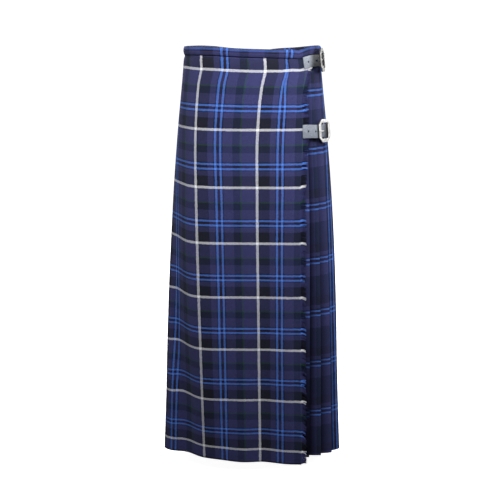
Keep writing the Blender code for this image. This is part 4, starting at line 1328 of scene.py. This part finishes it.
def build_strap(row, trim, finish):
    """A strap from where it is sewn to the apron, through its buckle, to its tapered end."""
    buckle = BuckleFrame(row)
    thick, half_wide = trim.strap_thickness, row["width"] / 2
    edge_s = apron_ends(row["sewn_z"])[0]
    sewn_s = outline(row["sewn_z"]).right_front(row["sewn_x"])

    def on_apron(height, s):
        return float(apron_out(height, min(s, apron_ends(height)[0]))) + STRAP_CLEAR + thick / 2

    def on_body(height, s):
        return row["body_out"] + CHAPE_THICK + GAP + STRAP_CLEAR + thick / 2

    stations = []
    sewn_to_edge = np.linspace(sewn_s, edge_s + STRAP_PAST_EDGE, len(STRAP_SEWN_SHARES))
    for share, s in zip(STRAP_SEWN_SHARES, sewn_to_edge):
        stations.append(station_on_body(row["sewn_z"], s, row["slant"] * share, on_apron, half_wide))
    stations += buckle.stations(through_buckle(trim))
    body_at = buckle.at(trim.buckle_length / 2 + STRAP_DOWN_AFTER, 0.0, 0.0)
    body_s = nearest_body(row["buckle_z"], body_at)
    for s in np.linspace(body_s, body_s + TAIL_ON_BODY, 4):
        stations.append(station_on_body(row["buckle_z"], s, 0.0, on_body, half_wide))
    widths = [half_wide] * (len(stations) - 1) + [half_wide * TAIL_END_SHARE]
    rows = refine(stations, widths, STRAP_STEP, 2)
    made = band_of_leather("strap_" + row["name"] + "_leather", rows, thick, STRAP_EDGE_ROUND, finish)
    cut_holes(made, rows, buckle, trim)
    paint_frame_shade(made, buckle, row, trim)
    finish_piece(made, "grey_leather", "strap_" + row["name"])


def paint_frame_shade(strap, buckle, row, trim):
    """Painted shade: the leather darkens where it is bent through the frame and the frame shades it, and a
    painted shadow lies in a line just outside the frame's near end.
    """
    points = np.array([v.co for v in strap.data.vertices]) - buckle.middle
    along, across = points @ buckle.along, points[:, 0]
    before = smooth_step((across - row["dark_from"]) / (row["dark_to"] - row["dark_from"]))
    after = 1.0 - smooth_step((along - DARK_UNTIL) / DARK_FADE)
    shadow_line_at = -(trim.buckle_length / 2 + SHADOW_LINE_FROM_FRAME)
    shadow_line = SHADOW_LINE_DEPTH * np.exp(-(((along - shadow_line_at) / SHADOW_LINE_WIDTH) ** 2))
    dark = np.maximum(before * after, shadow_line)
    strap.data.attributes.new(PAINTED_FRAME_SHADE, "FLOAT", "POINT").data.foreach_set("value", dark)


def cut_holes(strap, rows, buckle, trim):
    """Round holes down the strap's middle, and a slot where the prong comes through."""
    middles = rows[:, 0:3]
    reached = reached_at(middles)
    slot_out = float(np.interp(-SLOT_FROM_BAR, *np.array(through_buckle(trim)).T))
    from_slot = np.linalg.norm(middles - buckle.at(-SLOT_FROM_BAR, 0.0, slot_out), axis=1)
    slot_at = reached[int(np.argmin(from_slot))]
    for pitches in (-2, -1, 0, 3):
        distance = slot_at + pitches * HOLE_PITCH
        middle, before, after = (
            np.array([np.interp(distance + step, reached, middles[:, a]) for a in range(3)])
            for step in (0.0, -0.001, 0.001)
        )
        run = unit(after - before)
        normal = unit(np.cross(run, buckle.up))
        side = np.cross(normal, run)
        if pitches == 0:
            half_l, half_w = SLOT_LENGTH / 2, SLOT_WIDTH / 2
            corners = [(half_l, half_w), (-half_l, half_w), (-half_l, -half_w), (half_l, -half_w)]
        else:
            turns = [math.tau * c / HOLE_SIDES for c in range(HOLE_SIDES)]
            corners = [(HOLE_RADIUS * math.cos(a), HOLE_RADIUS * math.sin(a)) for a in turns]
        cut(strap, hole_cutter(middle, run, side, normal, corners, 2 * trim.strap_thickness))


def round_the_bar(radius, turns):
    """Points round a buckle's bar, as (along, out)."""
    angles = [math.radians(turn) for turn in turns]
    return [(radius * math.cos(a), BAR_OUT + radius * math.sin(a)) for a in angles]


def build_chape(row, trim, finish):
    """The leather tab that holds the buckle: folded round the bar and sewn to the pleats."""
    buckle = BuckleFrame(row)
    radius = BAR_RADIUS + GAP + CHAPE_THICK / 2
    path = [(CHAPE_FOLDS_AT, BAR_OUT + radius), *round_the_bar(radius, CHAPE_TURNS), *CHAPE_LAYS_DOWN]
    stations = buckle.stations(path)
    body_at = buckle.at(trim.buckle_length / 2 + CHAPE_DOWN_AFTER, 0.0, 0.0)
    body_s = nearest_body(row["buckle_z"], body_at)

    def on_body(height, s):
        return row["body_out"] + GAP + CHAPE_THICK / 2

    for s in np.linspace(body_s, body_s + CHAPE_ON_BODY, 3):
        stations.append(station_on_body(row["buckle_z"], s, 0.0, on_body, CHAPE_WIDTH / 2))
    rows = refine(stations, [CHAPE_WIDTH / 2] * len(stations), 0.0006, 1)
    made = band_of_leather("chape_" + row["name"] + "_leather", rows, CHAPE_THICK, 0.0003, finish)
    half = NOTCH_WIDTH / 2
    corners = [(NOTCH_FROM, -half), (NOTCH_TO, -half), (NOTCH_TO, half), (NOTCH_FROM, half)]
    middle = buckle.at(0, 0, NOTCH_OUT)
    cut(made, hole_cutter(middle, buckle.along, buckle.up, buckle.out, corners, NOTCH_DEPTH))
    finish_piece(made, "grey_leather", "chape_" + row["name"])


def build_prong(row, trim, finish):
    """A hook round the bar whose tongue lies through the strap and on the frame's near rail."""
    buckle = BuckleFrame(row)
    radius = BAR_RADIUS + GAP + PRONG_THICK / 2
    path = round_the_bar(radius, PRONG_TURNS)
    rest, end = FRAME_FRONT + GAP + PRONG_THICK / 2 + 0.0001, -trim.buckle_length / 2
    path += [(end + trim.rail + 0.001, rest), (end + 0.001, rest), (end - 0.0005, rest - 0.0001)]
    stations = buckle.stations(path)
    half = PRONG_WIDTH / 2
    widths = [half] * (len(path) - 2) + [half * 0.9, half * 0.5]
    rows = refine(stations, widths, 0.0005, 1)
    made = band_of_leather("prong_" + row["name"] + "_metal", rows, PRONG_THICK, 0.0004, finish)
    finish_piece(made, "pewter", "prong_" + row["name"])


def apply_transform():
    bpy.ops.object.transform_apply(location=True, rotation=True, scale=True)


def eight_sided_block(size, corner_cut):
    """A block in the middle of the frame's depth, with its four upright edges cut off."""
    bpy.ops.object.select_all(action="DESELECT")
    bpy.ops.mesh.primitive_cube_add(size=1.0, location=(0.0, 0.0, (FRAME_BACK + FRAME_FRONT) / 2))
    made = bpy.context.object
    made.scale = size
    apply_transform()
    bpy.ops.object.mode_set(mode="EDIT")
    bpy.ops.mesh.select_mode(type="EDGE")
    select_edges(made, lambda a, b: abs(a.z - b.z) > size[2] / 2)
    bpy.ops.mesh.bevel(offset=corner_cut, segments=1, affect="EDGES")
    bpy.ops.object.mode_set(mode="OBJECT")
    return made


def build_buckle(row, trim, finish, side_shade_finish):
    """An eight-sided frame with softened edges and a bar across its middle."""
    deep = FRAME_FRONT - FRAME_BACK
    length, height = trim.buckle_length, trim.buckle_height
    made = eight_sided_block((length, height, deep), CORNER_CUT)
    made.name = made.data.name = "buckle_" + row["name"] + "_frame"
    cut(made, eight_sided_block((length - 2 * trim.rail, height - 2 * trim.rail, 3 * deep), WINDOW_CUT))
    apply_modifier(
        made, "BEVEL", width=FRAME_ROUND, segments=3, limit_method="ANGLE", angle_limit=math.radians(50)
    )
    bpy.ops.object.select_all(action="DESELECT")
    bpy.ops.mesh.primitive_cylinder_add(
        vertices=20, radius=BAR_RADIUS, depth=height - trim.rail,
        location=(0.0, 0.0, BAR_OUT), rotation=(math.pi / 2, 0.0, 0.0),
    )
    bar = bpy.context.object
    apply_transform()
    apply_modifier(made, "BOOLEAN", operation="UNION", object=bar, solver="EXACT")
    bpy.data.objects.remove(bar)
    leave_selected(made)
    made.matrix_world = BuckleFrame(row).matrix()
    apply_transform()
    made.data.materials.clear()
    made.data.materials.append(finish)
    made.data.materials.append(side_shade_finish)
    outward = Vector(BuckleFrame(row).out)
    # Painted shade: faces turned away from the front take the dark copy of the pewter.
    for face in made.data.polygons:
        face.material_index = int(abs(face.normal.dot(outward)) < SIDE_WALL)
    made.data.shade_smooth()
    made.data.set_sharp_from_angle(angle=math.radians(30))
    finish_piece(made, "pewter", "buckle_" + row["name"])


def select_edges(obj, wanted):
    """Selects the edges in edit mode whose two ends are wanted."""
    bm = bmesh.from_edit_mesh(obj.data)
    for edge in bm.edges:
        edge.select_set(wanted(edge.verts[0].co, edge.verts[1].co))
    bmesh.update_edit_mesh(obj.data)


# ================================================================ operators
def each_strap():
    """The straps' rows, as dictionaries of their named columns."""
    return [dict(zip(STRAP_COLUMNS, values)) for values in STRAPS]


class KILT_OT_outer_apron(bpy.types.Operator):
    """Makes the outer apron, with its dart and its free edge"""

    bl_idname = "kilt.outer_apron"
    bl_label = "Outer Apron"

    def execute(self, context):
        build_outer_apron(context.scene.kilt_cloth)
        return {"FINISHED"}


class KILT_OT_under_apron(bpy.types.Operator):
    """Makes the under apron, inside the front"""

    bl_idname = "kilt.under_apron"
    bl_label = "Under Apron"

    def execute(self, context):
        build_under_apron(context.scene.kilt_cloth)
        return {"FINISHED"}


class KILT_OT_pleats(bpy.types.Operator):
    """Makes the knife pleats round the side and the back"""

    bl_idname = "kilt.pleats"
    bl_label = "Pleats"

    def execute(self, context):
        build_pleats(context.scene.kilt_cloth)
        return {"FINISHED"}


class KILT_OT_waistband(bpy.types.Operator):
    """Makes the waistband's three strips"""

    bl_idname = "kilt.waistband"
    bl_label = "Waistband"

    def execute(self, context):
        build_waistband(context.scene.kilt_cloth)
        return {"FINISHED"}


class KILT_OT_fringe(bpy.types.Operator):
    """Makes the fringe of loose yarns down the apron's edge"""

    bl_idname = "kilt.fringe"
    bl_label = "Fringe"

    def execute(self, context):
        build_fringe(context.scene.kilt_cloth, context.scene.kilt_fringe)
        return {"FINISHED"}


class KILT_OT_straps(bpy.types.Operator):
    """Makes the leather straps and the tabs that hold the buckles"""

    bl_idname = "kilt.straps"
    bl_label = "Straps"

    def execute(self, context):
        trim = context.scene.kilt_trim
        finish = material_once("kilt_leather", leather_material, trim)
        for row in each_strap():
            build_strap(row, trim, finish)
            build_chape(row, trim, finish)
        return {"FINISHED"}


class KILT_OT_buckles(bpy.types.Operator):
    """Makes the buckles' frames and their prongs"""

    bl_idname = "kilt.buckles"
    bl_label = "Buckles"

    def execute(self, context):
        trim = context.scene.kilt_trim
        # The second pewter is a dark copy of the first, painted shade for the buckles' side walls.
        face, side = "kilt_pewter", "kilt_pewter_side_shade"
        finish = material_once(face, lambda: pewter_material(face, trim, 1.0))
        side_shade_finish = material_once(side, lambda: pewter_material(side, trim, SIDE_SHADE_BRIGHTNESS))
        for row in each_strap():
            build_buckle(row, trim, finish, side_shade_finish)
            build_prong(row, trim, finish)
        return {"FINISHED"}


FLOOR_Z = -1.0
FLOOR_GLOW = 0.96
FLOOR_SIZE = 14.0
SWEEP_Y = 5.0
SWEEP_HEIGHT, SWEEP_RADIUS = 6.0, 2.0
AIR_LIGHT = 0.08
CAMERA_AT = (-0.005, -2.0, 0.054)
CAMERA_TILT = 75.3
# The lights: name, the setting of its power, its share of that, its size, its place and its target.
LIGHTS = (
    ("key_softbox", "key_power", 1.0, 0.8, (0.10, -0.90, 0.60), (0.0, -0.05, -0.18)),
    ("fill_softbox", "fill_power", 1.0, 0.8, (1.6, -0.40, 0.55), (0.12, 0.0, -0.30)),
    ("back_softbox", "back_power", 1.0, 1.2, (-0.5, 1.9, 0.9), (0.0, 0.0, -0.40)),
    ("left_softbox", "back_power", 0.26, 1.0, (-1.9, 0.3, 0.7), (0.0, 0.0, -0.40)),
)


class KILT_OT_stage(bpy.types.Operator):
    """Makes the floor, the lights and the camera"""

    bl_idname = "kilt.stage"
    bl_label = "Stage"

    def execute(self, context):
        stage = context.scene.kilt_stage
        build_floor(stage)
        build_lights(stage)
        build_camera(stage)
        return {"FINISHED"}


def build_floor(stage):
    bpy.ops.object.select_all(action="DESELECT")
    bpy.ops.mesh.primitive_plane_add(size=FLOOR_SIZE, location=(0.0, SWEEP_Y - FLOOR_SIZE / 2, FLOOR_Z))
    floor = bpy.context.object
    floor.name = "studio_sweep"
    apply_transform()
    bpy.ops.object.mode_set(mode="EDIT")
    bpy.ops.mesh.select_mode(type="EDGE")
    select_edges(floor, lambda a, b: min(a.y, b.y) > SWEEP_Y - 0.01)
    bpy.ops.mesh.extrude_region_move(TRANSFORM_OT_translate={"value": (0.0, 0.0, SWEEP_HEIGHT)})
    select_edges(floor, lambda a, b: min(a.y, b.y) > SWEEP_Y - 0.01 and max(a.z, b.z) < FLOOR_Z + 0.01)
    bpy.ops.mesh.bevel(offset=SWEEP_RADIUS, segments=16, affect="EDGES")
    bpy.ops.object.mode_set(mode="OBJECT")
    bpy.ops.object.shade_smooth()
    made, _, shader = new_material("floor_paper", 0.95)
    shader.inputs["Base Color"].default_value = (*stage.floor, 1.0)
    shader.inputs["Emission Color"].default_value = (1.0, 1.0, 1.0, 1.0)
    shader.inputs["Emission Strength"].default_value = FLOOR_GLOW
    floor.data.materials.append(made)
    floor.visible_diffuse = False
    floor.visible_glossy = False


def add_area_light(name, power, size, at, target):
    light = bpy.data.lights.new(name, "AREA")
    light.energy = power
    light.size = size
    made = bpy.data.objects.new(name, light)
    made.visible_camera = False
    made.location = at
    made.rotation_euler = (Vector(target) - Vector(at)).to_track_quat("-Z", "Y").to_euler()
    bpy.context.collection.objects.link(made)


def build_lights(stage):
    world = bpy.data.worlds.new("studio_air")
    world.use_nodes = True
    sky = world.node_tree.nodes["Background"]
    sky.inputs["Color"].default_value = (1.0, 1.0, 1.0, 1.0)
    sky.inputs["Strength"].default_value = AIR_LIGHT
    bpy.context.scene.world = world
    bpy.context.scene.view_settings.view_transform = "Standard"
    for name, setting, share, size, at, target in LIGHTS:
        add_area_light(name, getattr(stage, setting) * share, size, at, target)


def build_camera(stage):
    lens = bpy.data.cameras.new("camera")
    lens.sensor_width = 36.0
    lens.lens = stage.lens
    camera = bpy.data.objects.new("camera", lens)
    camera.location = CAMERA_AT
    camera.rotation_euler = (math.radians(CAMERA_TILT), 0.0, 0.0)
    bpy.context.collection.objects.link(camera)
    bpy.context.scene.camera = camera


class KILT_PT_pieces(bpy.types.Panel):
    """Lists the kilt's pieces and their settings"""

    bl_idname = "KILT_PT_pieces"
    bl_label = "Wrap Kilt"
    bl_space_type = "VIEW_3D"
    bl_region_type = "UI"
    bl_category = "Kilt"

    def draw(self, context):
        layout = self.layout
        for name, group in SETTINGS.items():
            box = layout.box()
            settings = getattr(context.scene, name)
            for prop in group.__annotations__:
                box.prop(settings, prop)
        for piece in PIECES:
            layout.operator(piece.bl_idname)


SETTINGS = {
    "kilt_cloth": KiltClothSettings,
    "kilt_fringe": KiltFringeSettings,
    "kilt_trim": KiltTrimSettings,
    "kilt_stage": KiltStageSettings,
}
PIECES = (
    KILT_OT_outer_apron, KILT_OT_under_apron, KILT_OT_pleats, KILT_OT_waistband,
    KILT_OT_fringe, KILT_OT_straps, KILT_OT_buckles, KILT_OT_stage,
)


def register():
    for kind in (*SETTINGS.values(), *PIECES, KILT_PT_pieces):
        bpy.utils.register_class(kind)
    for name, group in SETTINGS.items():
        setattr(bpy.types.Scene, name, PointerProperty(type=group))


def unregister():
    for name in SETTINGS:
        delattr(bpy.types.Scene, name)
    for kind in reversed((*SETTINGS.values(), *PIECES, KILT_PT_pieces)):
        bpy.utils.unregister_class(kind)


def main():
    register()
    for piece in PIECES:
        group, name = piece.bl_idname.split(".")
        getattr(getattr(bpy.ops, group), name)()
    bpy.context.view_layer.update()


if __name__ == "__main__":
    main()
